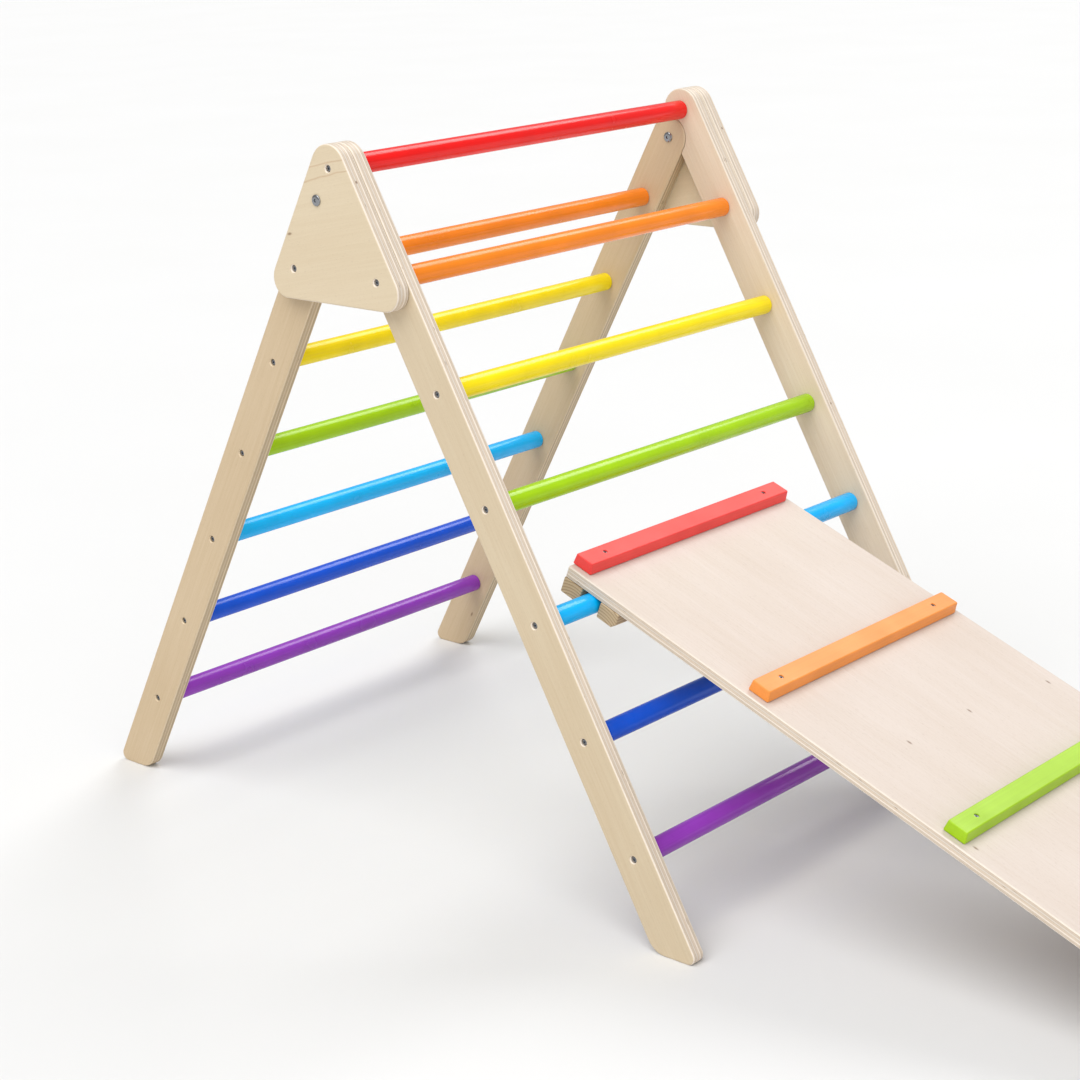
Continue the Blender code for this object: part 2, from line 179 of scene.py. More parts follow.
def grid(places: Array, normals: Array | None = None) -> Surface:
    """Splits rows of points, each row closed on itself, into triangles.

    The cell between rows i and i + 1 and columns j and j + 1 gives the triangles
    (i, j), (i, j + 1), (i + 1, j + 1) and (i, j), (i + 1, j + 1), (i + 1, j).

    Args:
        places: rows, columns and xyz.
        normals: the same for the shading; each triangle's own normal where it is left out.

    Returns:
        The triangles that have an area.
    """
    def cells(rows: Array) -> Array:
        """Returns the two triangles of every cell."""
        rows = np.concatenate([rows, rows[:, :1]], axis=1)
        a, b, c, d = rows[:-1, :-1], rows[:-1, 1:], rows[1:, 1:], rows[1:, :-1]
        return np.stack([a, b, c, a, c, d], axis=2).reshape(-1, 3, 3)

    corners = cells(places)
    across = np.cross(corners[:, 1] - corners[:, 0], corners[:, 2] - corners[:, 0])
    size = np.linalg.norm(across, axis=1)
    real = size > SMALLEST_AREA
    if normals is None:
        flat = across[real] / size[real, None]
        return Surface(corners[real], np.repeat(flat[:, None], 3, axis=1))
    return Surface(corners[real], cells(normals)[real])


def spokes(angle: Array) -> Array:
    """Returns (cos a, sin a) for each angle."""
    return np.stack([np.cos(angle), np.sin(angle)], axis=-1)


def arc(centre: Array, radius: float, start: float, end: float) -> Outline:
    """Returns centre + radius (cos a, sin a) round to the next turn of end, with its normals."""
    angle = np.linspace(start, start + (end - start) % (2 * pi), ARC_POINTS)
    return Outline(centre + radius * spokes(angle), spokes(angle))


def polygon(corners: Sequence[Any], radii: Sequence[float]) -> Outline:
    """Rounds each corner of a convex polygon.

    With n and m the unit normals of the two sides that meet, the arc's centre is the corner
    less radius (n + m) / (1 + n.m), and the arc sweeps from n to m.

    Args:
        corners: the corners, counter-clockwise.
        radii: the radius at each.

    Returns:
        The rounded outline.
    """
    corners, radii = np.array(corners), np.array(radii)
    leaving = np.roll(corners, -1, axis=0) - corners
    leaving /= np.linalg.norm(leaving, axis=1, keepdims=True)
    after = np.stack([leaving[:, 1], -leaving[:, 0]], axis=1)
    before = np.roll(after, 1, axis=0)
    share = 1 + (before * after).sum(axis=1, keepdims=True)
    centres = corners - radii[:, None] * (before + after) / share
    start = np.arctan2(before[:, 1], before[:, 0])
    sweep = np.mod(np.arctan2(after[:, 1], after[:, 0]) - start, 2 * pi)
    normals = spokes(start[:, None] + sweep[:, None] * np.linspace(0, 1, ARC_POINTS))
    points = centres[:, None] + radii[:, None, None] * normals
    return Outline.joined([Outline(points.reshape(-1, 2), normals.reshape(-1, 2))])


def inside(points: Array, loop: Array) -> Array:
    """Tells which points lie in a loop: a ray to +X crosses its sides an odd number of times."""
    ahead = np.roll(loop, -1, axis=0)
    x, y = points[:, :1], points[:, 1:]
    spans = (loop[:, 1] > y) != (ahead[:, 1] > y)
    rise = np.where(ahead[:, 1] == loop[:, 1], 1, ahead[:, 1] - loop[:, 1])
    crossing = loop[:, 0] + (y - loop[:, 1]) * (ahead[:, 0] - loop[:, 0]) / rise
    return (spans & (x < crossing)).sum(axis=1) % 2 == 1


def ring(centre: Sequence[float], radius: float) -> Array:
    """Returns a circle's points, centre + radius (cos a, sin a), counter-clockwise."""
    return np.array(centre) + radius * spokes(np.arange(HOLE_SEGMENTS) * 2 * pi / HOLE_SEGMENTS)


def panel(outline: Array, holes: Sequence[Array], level: float, up: bool,
          creases: Sequence[tuple[int, int]] = ()) -> Surface:
    """Fills a flat outline, less its holes, with triangles between the given points only.

    Args:
        outline: the outer line.
        holes: the line of each hole.
        level: the panel's place along w.
        up: whether it faces +w.
        creases: pairs of outline points that an edge has to join.

    Returns:
        The flat panel.
    """
    loops = [outline, *holes]
    points = np.concatenate(loops)
    starts = np.cumsum([0] + [len(loop) for loop in loops[:-1]])
    sides = [start + np.stack([np.arange(len(loop)), np.roll(np.arange(len(loop)), -1)], axis=1)
             for start, loop in zip(starts, loops)]
    edges = np.concatenate([*sides, np.array(creases, int).reshape(-1, 2)])
    made = delaunay_2d_cdt([Vector(p) for p in points], edges.tolist(), [], 0, SAME_PLACE / 10)
    given = np.array([sources[0] for sources in made[3]])
    corners = points[given[np.array(made[2])]]
    middle = corners.mean(axis=1)
    kept = inside(middle, outline)
    for hole in holes:
        kept &= ~inside(middle, hole)
    corners = corners[kept]
    first, second = corners[:, 1] - corners[:, 0], corners[:, 2] - corners[:, 0]
    turn = first[:, 0] * second[:, 1] - first[:, 1] * second[:, 0]
    corners = np.where(((turn > 0) == up)[:, None, None], corners, corners[:, ::-1])
    places = np.concatenate([corners, np.full((*corners.shape[:2], 1), level)], axis=2)
    return Surface(places, np.broadcast_to([0.0, 0.0, 1.0 if up else -1.0], places.shape))


def turned(steps: Sequence[Sequence[float]], centre: Sequence[float] = (0.0, 0.0),
           segments: int = HOLE_SEGMENTS) -> Surface:
    """Turns a stepped profile about the w axis through a centre.

    Each band joins radius r0 at level w0 to r1 at w1; its normal is (w1 - w0) outwards and
    (r0 - r1) along w. Bands that meet at a small angle share a normal. A step marked 1 has
    its radius times cos 30 / cos(a mod 60 - 30), which makes it a hexagon.

    Args:
        steps: radius, level and, for a hexagon, 1, from the lowest centre to the highest.
        centre: the axis's place in u and v.
        segments: points round each circle, a multiple of 6.

    Returns:
        The turned surface.
    """
    profile = np.array([(*step, 0.0)[:3] for step in steps], float)
    angle = np.arange(segments) * 2 * pi / segments
    flats = cos(pi / 6) / np.cos(np.mod(angle, pi / 3) - pi / 6)
    reach = profile[:, :1] * np.where(profile[:, 2:] > 0, flats, 1.0)
    circle = spokes(angle)
    level = np.broadcast_to(profile[:, 1:2], reach.shape)
    places = np.dstack([reach[..., None] * circle + np.array(centre), level])
    run = np.diff(profile[:, :2], axis=0)
    bands = np.stack([run[:, 1], -run[:, 0]], axis=1) / np.linalg.norm(run, axis=1, keepdims=True)
    ends = [bands, bands.copy()]
    soft = (bands[:-1] * bands[1:]).sum(axis=1) > SOFT_CREASE
    shared = bands[:-1] + bands[1:]
    shared /= np.maximum(np.linalg.norm(shared, axis=1, keepdims=True), SAME_PLACE)
    ends[0][1:][soft] = shared[soft]
    ends[1][:-1][soft] = shared[soft]
    parts = []
    for k, pair in enumerate(zip(*ends)):
        radial = None if profile[k:k + 2, 2].any() else np.stack([
            np.concatenate([circle * out, np.full((segments, 1), along)], axis=1)
            for out, along in pair])
        parts.append(grid(places[k:k + 2], radial))
    return Surface.joined(parts)


def sheet(outline: Outline, thickness: float, round_over: float, holes: Sequence[Hole] = (),
          creases: Sequence[tuple[int, int]] = ()) -> Surface:
    """A flat piece of even thickness with softened edges.

    A wall point at angle a, from -90 to 90 degrees, lies round_over (1 - cos a) inside the
    outline; its level is round_over (1 + sin a) in the lower half and
    thickness - round_over (1 - sin a) in the upper half.

    Args:
        outline: the widest outline, half way through the thickness.
        thickness: from w = 0 to this.
        round_over: the radius of both softened edges.
        holes: the holes, sunk from the upper face.
        creases: edges that the lower face has to hold, as pairs of outline points.

    Returns:
        The closed sheet.
    """
    sweep = np.linspace(0, pi / 2, ROUND_POINTS)
    angle = np.concatenate([sweep - pi / 2, sweep])
    base = np.repeat([round_over, thickness - round_over], ROUND_POINTS)
    inset = round_over * (1 - np.cos(angle))
    flat = outline.points - outline.normals * inset[:, None, None]
    level = np.broadcast_to((base + round_over * np.sin(angle))[:, None], flat.shape[:2])
    slant = outline.normals * np.cos(angle)[:, None, None]
    rise = np.broadcast_to(np.sin(angle)[:, None], flat.shape[:2])
    upper = [ring(hole.centre, hole.steps[0][0]) for hole in holes]
    lower = [ring(hole.centre, hole.steps[-1][0]) for hole in holes
             if hole.steps[-1][1] >= thickness]
    walls = [turned([(radius, thickness - depth) for radius, depth in hole.steps], hole.centre)
             for hole in holes]
    return Surface.joined([grid(np.dstack([flat, level]), np.dstack([slant, rise])),
                           panel(flat[-1], upper, thickness, True),
                           panel(flat[0], lower, 0.0, False, creases), *walls])


def quarter(radius: float, level: float, height: float, spread: float) -> list[tuple[float, ...]]:
    """Steps of a rounded shoulder: radius - spread (1 - cos a) at level + height sin a.

    Args:
        radius: the radius at the shoulder's wide end.
        level: the level there.
        height: its rise.
        spread: how far it comes in.

    Returns:
        The steps as radius and level.
    """
    angle = np.linspace(0, pi / 2, SHOULDER_POINTS)
    return list(zip(radius - spread * (1 - np.cos(angle)), level + height * np.sin(angle)))


# --- finishes ---

def linear(hex_code: str, strength: float = 1.0) -> tuple[float, float, float, float]:
    """Turns an sRGB hex code to linear RGBA, times a strength."""
    channels = np.array([int(hex_code[i:i + 2], 16) / 255 for i in (1, 3, 5)])
    curve = np.where(channels <= 0.04045, channels / 12.92, ((channels + 0.055) / 1.055) ** 2.4)
    return (*(curve * strength), 1.0)


class Recipe:
    """A material in the making, whose pattern lies in a piece's own axes."""

    def __init__(self, name: str, seat: Seat) -> None:
        """Starts the material.

        Args:
            name: its name.
            seat: a right-handed set of axes; placed gives its u, v and w in metres.
        """
        self.material = bpy.data.materials.new(name)
        self.material.use_nodes = True
        self.material.node_tree.nodes.clear()
        turn = Matrix(seat.axes.tolist())
        self.placed = self.add("Mapping", self.add("TexCoord").outputs["Object"],
                               rotation=turn.to_euler("XYZ"),
                               location=-(turn @ Vector(seat.origin)))

    def add(self, kind: str, *inputs: Any, **settings: Any) -> bpy.types.Node:
        """Adds a shader node with its settings and links.

        Args:
            kind: the node's type, less the word ShaderNode, and its operation if it has one.
            inputs: a value, a socket or a node for each input, in order.
            settings: inputs by their names in lower case, and the node's own properties.

        Returns:
            The node.
        """
        def keyword(socket: bpy.types.NodeSocket) -> str:
            """Returns a socket's name as a keyword."""
            return socket.name.lower().replace(" ", "_")

        tree = self.material.node_tree
        word, _, operation = kind.partition(" ")
        node = tree.nodes.new("ShaderNode" + word)
        if operation:
            node.operation = operation
        for key in settings.keys() - {keyword(socket) for socket in node.inputs}:
            setattr(node, key, settings[key])
        live = [socket for socket in node.inputs if socket.enabled]
        named = [(socket, settings[keyword(socket)]) for socket in live
                 if keyword(socket) in settings]
        for socket, value in [*zip(live, inputs), *named]:
            if isinstance(value, bpy.types.Node):
                value = next(output for output in value.outputs if output.enabled)
            if isinstance(value, bpy.types.NodeSocket):
                tree.links.new(value, socket)
            else:
                socket.default_value = value
        return node

    def stretched(self, at: bpy.types.Node, cells: tuple[float, float, float],
                  **settings: float) -> bpy.types.Node:
        """Adds noise that is longer one way than another.

        Args:
            at: the coordinates, in metres.
            cells: the noise's cells in a metre along each axis.
            settings: the noise's other inputs.

        Returns:
            The noise.
        """
        return self.add("TexNoise", self.add("VectorMath MULTIPLY", at, cells), scale=1.0,
                        **settings)

    def finished(self, height: bpy.types.Node, relief: float,
                 **inputs: Any) -> bpy.types.Material:
        """Adds the bump, the Principled shader and the output.

        Args:
            height: the node that gives the relief, from 0 to 1.
            relief: the height that 1 stands for, in metres.
            inputs: the shader's inputs.

        Returns:
            The material.
        """
        bump = self.add("Bump", height=height, distance=relief, strength=1.0)
        self.add("OutputMaterial", self.add("BsdfPrincipled", normal=bump, **inputs))
        return self.material


class Finish:
    """What all the finishes share."""

    def build(self, name: str, seat: Seat) -> bpy.types.Material:
        """Makes the finish, or returns the one that has been made under the name.

        Args:
            name: the material's name.
            seat: the pattern's axes, with u along the grain and w through a sheet's plies.

        Returns:
            The material.
        """
        return bpy.data.materials.get(name) or self.dress(Recipe(name, seat))

    def dress(self, recipe: Recipe) -> bpy.types.Material:
        """Adds the finish's own nodes and returns the material."""
        raise NotImplementedError


class BirchTone(Enum):
    """Tones of birch sheets, as sRGB hex: veneer, its streaks, long-grain and cross-grain plies."""

    CREAM = ("#D3C3A7", "#CCBA9C", "#E2D6C8", "#D2C1AC")
    STRAW = ("#CDBDA1", "#C3AF90", "#E2D6C8", "#D2C1AC")
    # Painted light: a paler veneer for the right rails, lifting the shade on their inner faces.
    SHELL = ("#DACBB6", "#CCB89C", "#E2D6C8", "#D2C1AC")
    # Painted shade: the rear rails' darker, browner veneer and plies stand in for the shade on
    # their down-facing edges.
    HONEY = ("#C8B394", "#BDA684", "#D0BD9F", "#B9A382")
    ROSE = ("#D1C5BC", "#C9BAAD", "#E2D6C8", "#D2C1AC")


@dataclass(frozen=True)
class BirchPlywood(Finish):
    """Sanded and clear-sealed birch plywood.

    The eye sees a pale, nearly plain veneer with faint long streaks on the faces, and on the edges
    a stack of plies: long-grain ones light, cross-grain ones browner, with thin dark glue lines
    between them and now and then a gap in a core ply, drawn as a dark dash of painted shade.

    Attributes:
        thickness: the sheet's, from which the ply lines are laid.
        tone: the colours of the veneer, its streaks and the core plies.
        plies: an odd number.
        glue: the resin lines, the pores' dark ticks, and the painted shade in the core's gaps.
        knot: the pin knots.
        heartwood: the brown lines near the log's centre.
        heart: across-grain places of two such lines, or nothing.
        roughness: of the sealed face.
        knots: the share of the pattern's cells that hold a pin knot.
        lot: moves the pattern, so that no two sheets match.
    """

    thickness: float
    tone: BirchTone
    plies: int = 7
    glue: str = "#7A5E44"
    knot: str = "#6E4B2C"
    heartwood: str = "#A87B4E"
    heart: tuple[float, float] | None = None
    roughness: float = 0.5
    knots: float = 0.11
    lot: float = 0.0

    def dress(self, recipe: Recipe) -> bpy.types.Material:
        """Adds the nodes of the solid pattern and returns the material."""
        add, placed = recipe.add, recipe.placed
        veneer, streak, long_ply, cross_ply = (linear(shade) for shade in self.tone.value)
        along_u, across_v, through_w = add("SeparateXYZ", placed).outputs
        wander = add("TexNoise", placed, scale=14.0, detail=2.0)
        drift = add("Math MULTIPLY_ADD", wander, 0.44, -0.22)
        skin = add("Math PINGPONG", through_w, self.thickness / 2)
        depth = add("Math MULTIPLY_ADD", through_w, self.plies / self.thickness, drift)
        depth = add("Clamp", depth, 0.5, self.plies - 0.5)
        number = add("Math FLOOR", depth)
        crossed = add("Math MODULO", number, 2.0)
        seam = add("Math PINGPONG", depth, 0.5)
        swapped = add("CombineXYZ", across_v, along_u, through_w)
        along = add("Mix", crossed, placed, swapped, data_type="VECTOR")
        # Plies come from places in the log that are metres apart.
        apart = add("VectorMath MULTIPLY_ADD", number, (3.7, 1.3, 0.0), along)
        grain = add("VectorMath ADD", apart, (self.lot, self.lot * 0.61, 0.0))

        # Streaks 14 mm wide and 0.4 m long, and fibre lines 2.5 mm wide and 0.1 m long.
        broad = recipe.stretched(grain, (2.4, 70.0, 70.0), detail=2.0, distortion=0.8)
        fine = recipe.stretched(grain, (10.0, 400.0, 400.0), detail=4.0, roughness=0.7)
        # Pores about 0.5 mm wide and 4 mm long show as short dark ticks.
        tick = recipe.stretched(grain, (240.0, 1500.0, 1500.0), detail=1.0)
        pores = add("MapRange", tick, 0.62, 0.78)
        # Soft clouds a hand's width across, where the log gave warmer wood.
        cloud = recipe.stretched(grain, (4.0, 11.0, 11.0), detail=2.0)
        mixed = add("Math MULTIPLY_ADD", broad, 0.35, fine)
        mixed = add("Math MULTIPLY_ADD", cloud, 0.75, mixed)
        tone = add("MapRange", mixed, 0.72, 1.38)
        face = add("Mix", tone, veneer, streak, data_type="RGBA")
        face = self.add_heart(recipe, across_v, wander, face)

        # Each core ply has its own tone, within a tenth.
        shade = add("TexWhiteNoise", number, noise_dimensions="1D")
        core = add("Mix", crossed, long_ply, cross_ply, data_type="RGBA")
        core = add("VectorMath SCALE", core, add("MapRange", shade, 0.0, 1.0, 0.9, 1.06))
        core = add("VectorMath SCALE", core, add("MapRange", mixed, 0.7, 1.4, 1.05, 0.93))
        # Sanding and sealer have yellowed the outer 0.3 to 0.8 mm; cut edges are paler.
        middle = add("MapRange", skin, 0.0003, 0.0008)
        wood = add("Mix", middle, face, core, data_type="RGBA")

        # Glue lines 0.2 to 0.5 mm thick, which come and go every 40 mm along the edge.
        glue = add("MapRange", seam, 0.03, 0.1, 0.7, 0.0)
        fade = recipe.stretched(apart, (26.0, 26.0, 60.0), detail=2.0)
        glue = add("Math MULTIPLY", glue, add("MapRange", fade, 0.36, 0.62, 0.25, 1.0))
        # Gaps in the core: dashes about 10 mm long beside a glue line, drawn in the glue colour as
        # painted shade for the empty gap.
        gap = recipe.stretched(apart, (55.0, 55.0, 380.0), detail=1.0)
        gap = add("Math MULTIPLY", add("MapRange", gap, 0.74, 0.78),
                  add("Math LESS_THAN", seam, 0.3))
        # The dark mask holds the glue lines, the painted shade of the gaps and the pores' ticks.
        dark = add("Math MAXIMUM", glue, gap)
        dark = add("Math MAXIMUM", dark, add("Math MULTIPLY", pores, 0.22))
        colour = add("Mix", dark, wood, linear(self.glue), data_type="RGBA")
        colour = self.add_knots(recipe, grain, colour)
        height = add("Math MULTIPLY_ADD", dark, -1.0, fine)
        dull = add("MapRange", mixed, 0.7, 1.5, self.roughness - 0.05, self.roughness + 0.09)
        return recipe.finished(height, 0.00007, base_color=colour, roughness=dull)

    def add_heart(self, recipe: Recipe, across: bpy.types.NodeSocket, wander: bpy.types.Node,
                  face: bpy.types.Node) -> bpy.types.Node:
        """Draws the two heartwood lines, 1 to 2 mm wide, which wander 8 and 24 mm.

        Args:
            recipe: the material.
            across: the place across the grain.
            wander: a slow noise.
            face: the veneer's colour.

        Returns:
            The colour with the lines, or as it was where the sheet has none.
        """
        add = recipe.add
        for place, spread in zip(self.heart or (), (0.008, 0.024)):
            line = add("Math MULTIPLY_ADD", wander, -spread, across)
            line = add("Math SUBTRACT", line, place - spread / 2)
            mark = add("MapRange", add("Math ABSOLUTE", line), 0.0002, 0.0014, 0.36, 0.0)
            face = add("Mix", mark, face, linear(self.heartwood), data_type="RGBA")
        return face

    def add_knots(self, recipe: Recipe, grain: bpy.types.Node,
                  colour: bpy.types.Node) -> bpy.types.Node:
        """Draws pin knots, dark dots 2 mm across and 5 mm long, in cells 0.14 m by 0.06 m.

        Args:
            recipe: the material.
            grain: the grain's coordinates.
            colour: the colour under the knots.

        Returns:
            The colour with the knots.
        """
        add = recipe.add
        at = add("VectorMath MULTIPLY", grain, (7.0, 16.0, 0.0))
        cells = add("TexVoronoi", at, scale=1.0, voronoi_dimensions="2D")
        pick = add("SeparateColor", cells.outputs["Color"])
        chosen = add("Math GREATER_THAN", pick, 1 - self.knots)
        dot = add("MapRange", cells, 0.010, 0.034, 0.75, 0.0)
        dot = add("Math MULTIPLY", dot, chosen)
        return add("Mix", dot, colour, linear(self.knot), data_type="RGBA")


class Enamel(Enum):
    """Water-based enamel, as the sRGB hex of two sprayed coats on a rung and of a paler shade on a
    cleat; the cleat's paleness is painted sheen, standing in for the haze of light on its top."""

    RED = ("#F00C08", "#F0403C")
    ORANGE = ("#FA8A18", "#F29440")
    YELLOW = ("#FCE400", "#F0DC3C")
    LIME = ("#A4D200", "#A0CA04")
    LIGHT_BLUE = ("#00B8FF", "#20ACE8")
    BLUE = ("#0050D0", "#2058CC")
    PURPLE = ("#9038B6", "#9450BC")

    @staticmethod
    def of(node: str) -> "Enamel":
        """Returns the enamel that a rung's or cleat's node name ends with."""
        return Enamel[node.split("_", 3)[3].upper()]

    @property
    def slot(self) -> str:
        """The record's material slot."""
        return f"painted_{self.name.lower()}"


@dataclass(frozen=True)
class EnamelOnBeech(Finish):
    """Semi-gloss enamel sprayed on sanded beech.

    The eye sees a full, even colour with a broad soft highlight. The wood's grain telegraphs
    through as faint lengthwise lines, and the spray leaves a fine orange peel.

    Attributes:
        colour: the enamel, as sRGB hex.
        roughness: of the dry film.
        thin: the strength of the colour where the film is thinnest.
    """

    colour: str
    roughness: float = 0.22
    thin: float = 0.84

    def dress(self, recipe: Recipe) -> bpy.types.Material:
        """Adds the nodes of the painted look and returns the material."""
        add, placed = recipe.add, recipe.placed
        # Grain lines 2 mm apart and 0.3 m long; orange peel 1.2 mm across; patches of 45 mm.
        grain = recipe.stretched(placed, (3.0, 500.0, 500.0), detail=1.0)
        peel = add("TexNoise", placed, scale=820.0, detail=1.0)
        patch = add("TexNoise", placed, scale=22.0, detail=3.0)
        film = add("Math MULTIPLY_ADD", grain, 0.5, patch)
        colour = add("Mix", add("MapRange", film, 0.45, 1.05), linear(self.colour),
                     linear(self.colour, self.thin), data_type="RGBA")
        dull = add("MapRange", patch, 0.2, 0.8, self.roughness - 0.06, self.roughness + 0.08)
        height = add("Math MULTIPLY_ADD", peel, 0.35, grain)
        return recipe.finished(height, 0.00002, base_color=colour, roughness=dull,
                               specular_ior_level=0.4)


@dataclass(frozen=True)
class PlanedPine(Finish):
    """Planed, unsealed pine.

    The eye sees growth rings: arcs on the end grain and straight brown lines on the sides,
    each ring going slowly from pale early wood to dark late wood and back at once.

    Attributes:
        pith: the log's centre in the pattern's v and w.
        early: the pale wood.
        late: the dark wood.
        ring_width: from ring to ring.
    """

    pith: tuple[float, float]
    early: str = "#C6B08E"
    late: str = "#8C6E4A"
    ring_width: float = 0.0036

    def dress(self, recipe: Recipe) -> bpy.types.Material:
        """Adds the nodes of the solid pattern and returns the material."""
        add, placed = recipe.add, recipe.placed
        sway = add("TexNoise", placed, scale=16.0, detail=2.0)
        across = add("VectorMath MULTIPLY",
                     add("VectorMath SUBTRACT", placed, (0.0, *self.pith)), (0.0, 1.0, 1.0))
        radius = add("VectorMath LENGTH", across)
        rings = add("Math MULTIPLY_ADD", radius, 1 / self.ring_width, sway)
        late = add("Math POWER", add("Math FRACT", rings), 3.0)
        # Fibres 0.8 mm wide and 60 mm long.
        fibre = recipe.stretched(placed, (16.0, 1200.0, 1200.0), detail=3.0)
        mixed = add("Math MULTIPLY_ADD", fibre, 0.35, late)
        colour = add("Mix", add("MapRange", mixed, 0.08, 1.15), linear(self.early),
                     linear(self.late), data_type="RGBA")
        dull = add("MapRange", fibre, 0.0, 1.0, 0.52, 0.72)
        return recipe.finished(mixed, 0.0002, base_color=colour, roughness=dull)


class Plating(Enum):
    """Zinc coats of the fasteners, as sRGB hex."""

    BLACK_ZINC = "#85878B"
    BRIGHT_ZINC = "#9C9EA2"


@dataclass(frozen=True)
class PlatedSteel(Finish):
    """Pressed steel with a zinc coat.

    The eye sees metal with a slightly cloudy coat and fine tool marks, bright on the pivot
    bolts and a darker grey on the wood screws.

    Attributes:
        coat: the plating.
        roughness: of the coat.
        worn: the strength of the colour in the darkest clouds.
    """

    coat: Plating
    roughness: float = 0.24
    worn: float = 0.72

    def made(self) -> bpy.types.Material:
        """Returns the one material that all the fasteners with this coat share."""
        return self.build(f"{self.coat.name.lower()}_steel", ALONG_RUNGS)

    def dress(self, recipe: Recipe) -> bpy.types.Material:
        """Adds the nodes of the metal and returns the material."""
        add, placed = recipe.add, recipe.placed
        # Clouds 4 mm across and tool marks 0.4 mm apart.
        cloud = add("TexNoise", placed, scale=260.0, detail=2.0)
        marks = add("TexNoise", placed, scale=2500.0, detail=2.0)
        colour = add("Mix", cloud, linear(self.coat.value), linear(self.coat.value, self.worn),
                     data_type="RGBA")
        dull = add("MapRange", cloud, 0.3, 0.7, self.roughness - 0.06, self.roughness + 0.1)
        return recipe.finished(marks, 0.00001, base_color=colour, roughness=dull, metallic=1.0)


@dataclass(frozen=True)
class MattFloorPaint(Finish):
    """Rolled matt white paint: a pale even floor with a faint roller stipple 2 mm across."""

    light: str = "#E0E0E0"
    dark: str = "#DCDCDB"

    def dress(self, recipe: Recipe) -> bpy.types.Material:
        """Adds the nodes of the paint and returns the material."""
        add, placed = recipe.add, recipe.placed
        stipple = add("TexNoise", placed, scale=480.0, detail=2.0)
        patch = add("TexNoise", placed, scale=1.5, detail=2.0)
        colour = add("Mix", patch, linear(self.light), linear(self.dark), data_type="RGBA")
        dull = add("MapRange", patch, 0.0, 1.0, 0.72, 0.84)
        return recipe.finished(stipple, 0.00008, base_color=colour, roughness=dull)


# --- layout ---

ALONG_RUNGS = Seat(np.zeros(3), np.array([[0.0, 1, 0], [0, 0, 1.0], [1.0, 0, 0]]))
BODY_OF = {node: body for body, nodes in frame["record"]["behaviour"]["bodies"].items()
           for node in nodes}


def centre_of(node: str) -> Array:
    """Returns the middle of a CAD node's box."""
    low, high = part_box(node)
    return (np.array(low) + np.array(high)) / 2


def side_view(node: str) -> Array:
    """Returns the X and Z of the middle of a CAD node's box."""
    return centre_of(node)[[0, 2]]


def reach_of(node: str) -> list[float]:
    """Returns a CAD node's least and greatest distance |Y| from the middle of the frame."""
    return sorted(abs(corner[1]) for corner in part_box(node))


def nodes_named(start: str, end: str = "") -> list[str]:
    """Returns the CAD nodes whose names start and end so, in order."""
    return [name for name in sorted(frame["nodes"])
            if name.startswith(start) and name.endswith(end)]


def unit(vector: Array) -> Array:
    """Returns the vector at length 1."""
    return vector / np.linalg.norm(vector)


def finish_piece(name: str, surface: Surface, material: bpy.types.Material,
                 node: str | None = None, body: str = "frame") -> None:
    """Makes a piece, sets it on its body and lets it stand for its CAD node.

    Args:
        name: the piece's name.
        surface: its shape in world coordinates.
        material: its finish.
        node: the CAD node that it stands for.
        body: the body that it rides on where it has no node.
    """
    piece = surface.piece(name, material)
    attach(piece, BODY_OF[node] if node else body)
    if node:
        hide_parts(node)
    LOG.info("%s: %d triangles on %s", name, len(piece.data.polygons), BODY_OF.get(node, body))


class Side(Enum):
    """The two sides of the frame, as the sign of Y."""

    LEFT = -1
    RIGHT = 1

    @property
    def word(self) -> str:
        """The side's name in the node names."""
        return self.name.lower()

    def seat(self, y: float) -> Seat:
        """Returns axes with u = X, v = Z and w outwards from the plane |Y| = y."""
        return Seat(np.array([0.0, y * self.value, 0.0]),
                    np.array([[1.0, 0, 0], [0, 0, 1.0], [0, self.value, 0]]))

    def grain_seat(self, y: float, along: Array, anchor: Array) -> Seat:
        """Returns right-handed axes for a sheet's pattern.

        Args:
            y: the distance |Y| of the sheet's inner face.
            along: the face grain's direction in the side view.
            anchor: a point in the side view where u and v are zero.

        Returns:
            The axes: u along the grain, v across it and w outwards.
        """
        outwards = np.array([0.0, self.value, 0.0])
        grain = np.array([along[0], 0.0, along[1]])
        axes = np.array([grain, np.cross(outwards, grain), outwards])
        return Seat(np.array([anchor[0], y * self.value, anchor[1]]), axes)


@dataclass(frozen=True)
class Layout:
    """Axes of the rungs and the lines of the rails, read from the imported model."""

    apex: Array
    pivot: Array
    hook: Array
    front_down: Array
    rear_down: Array
    ramp_along: Array
    ramp_up: Array

    @staticmethod
    def read() -> "Layout":
        """Reads the rungs', pivots' and cleats' places from their boxes."""
        apex, lowest = side_view("front_rung_1_red"), side_view("front_rung_7_purple")
        pivot, rear = side_view("pivot_bolt_left"), side_view("rear_rung_6_purple")
        first, last = centre_of("ramp_cleat_1_red"), centre_of("ramp_cleat_4_light_blue")
        along = unit(last - first)
        return Layout(apex, pivot, side_view("front_rung_5_light_blue"), unit(lowest - apex),
                      unit(rear - pivot), along, np.cross(along, [0, 1.0, 0]))


# --- fasteners ---

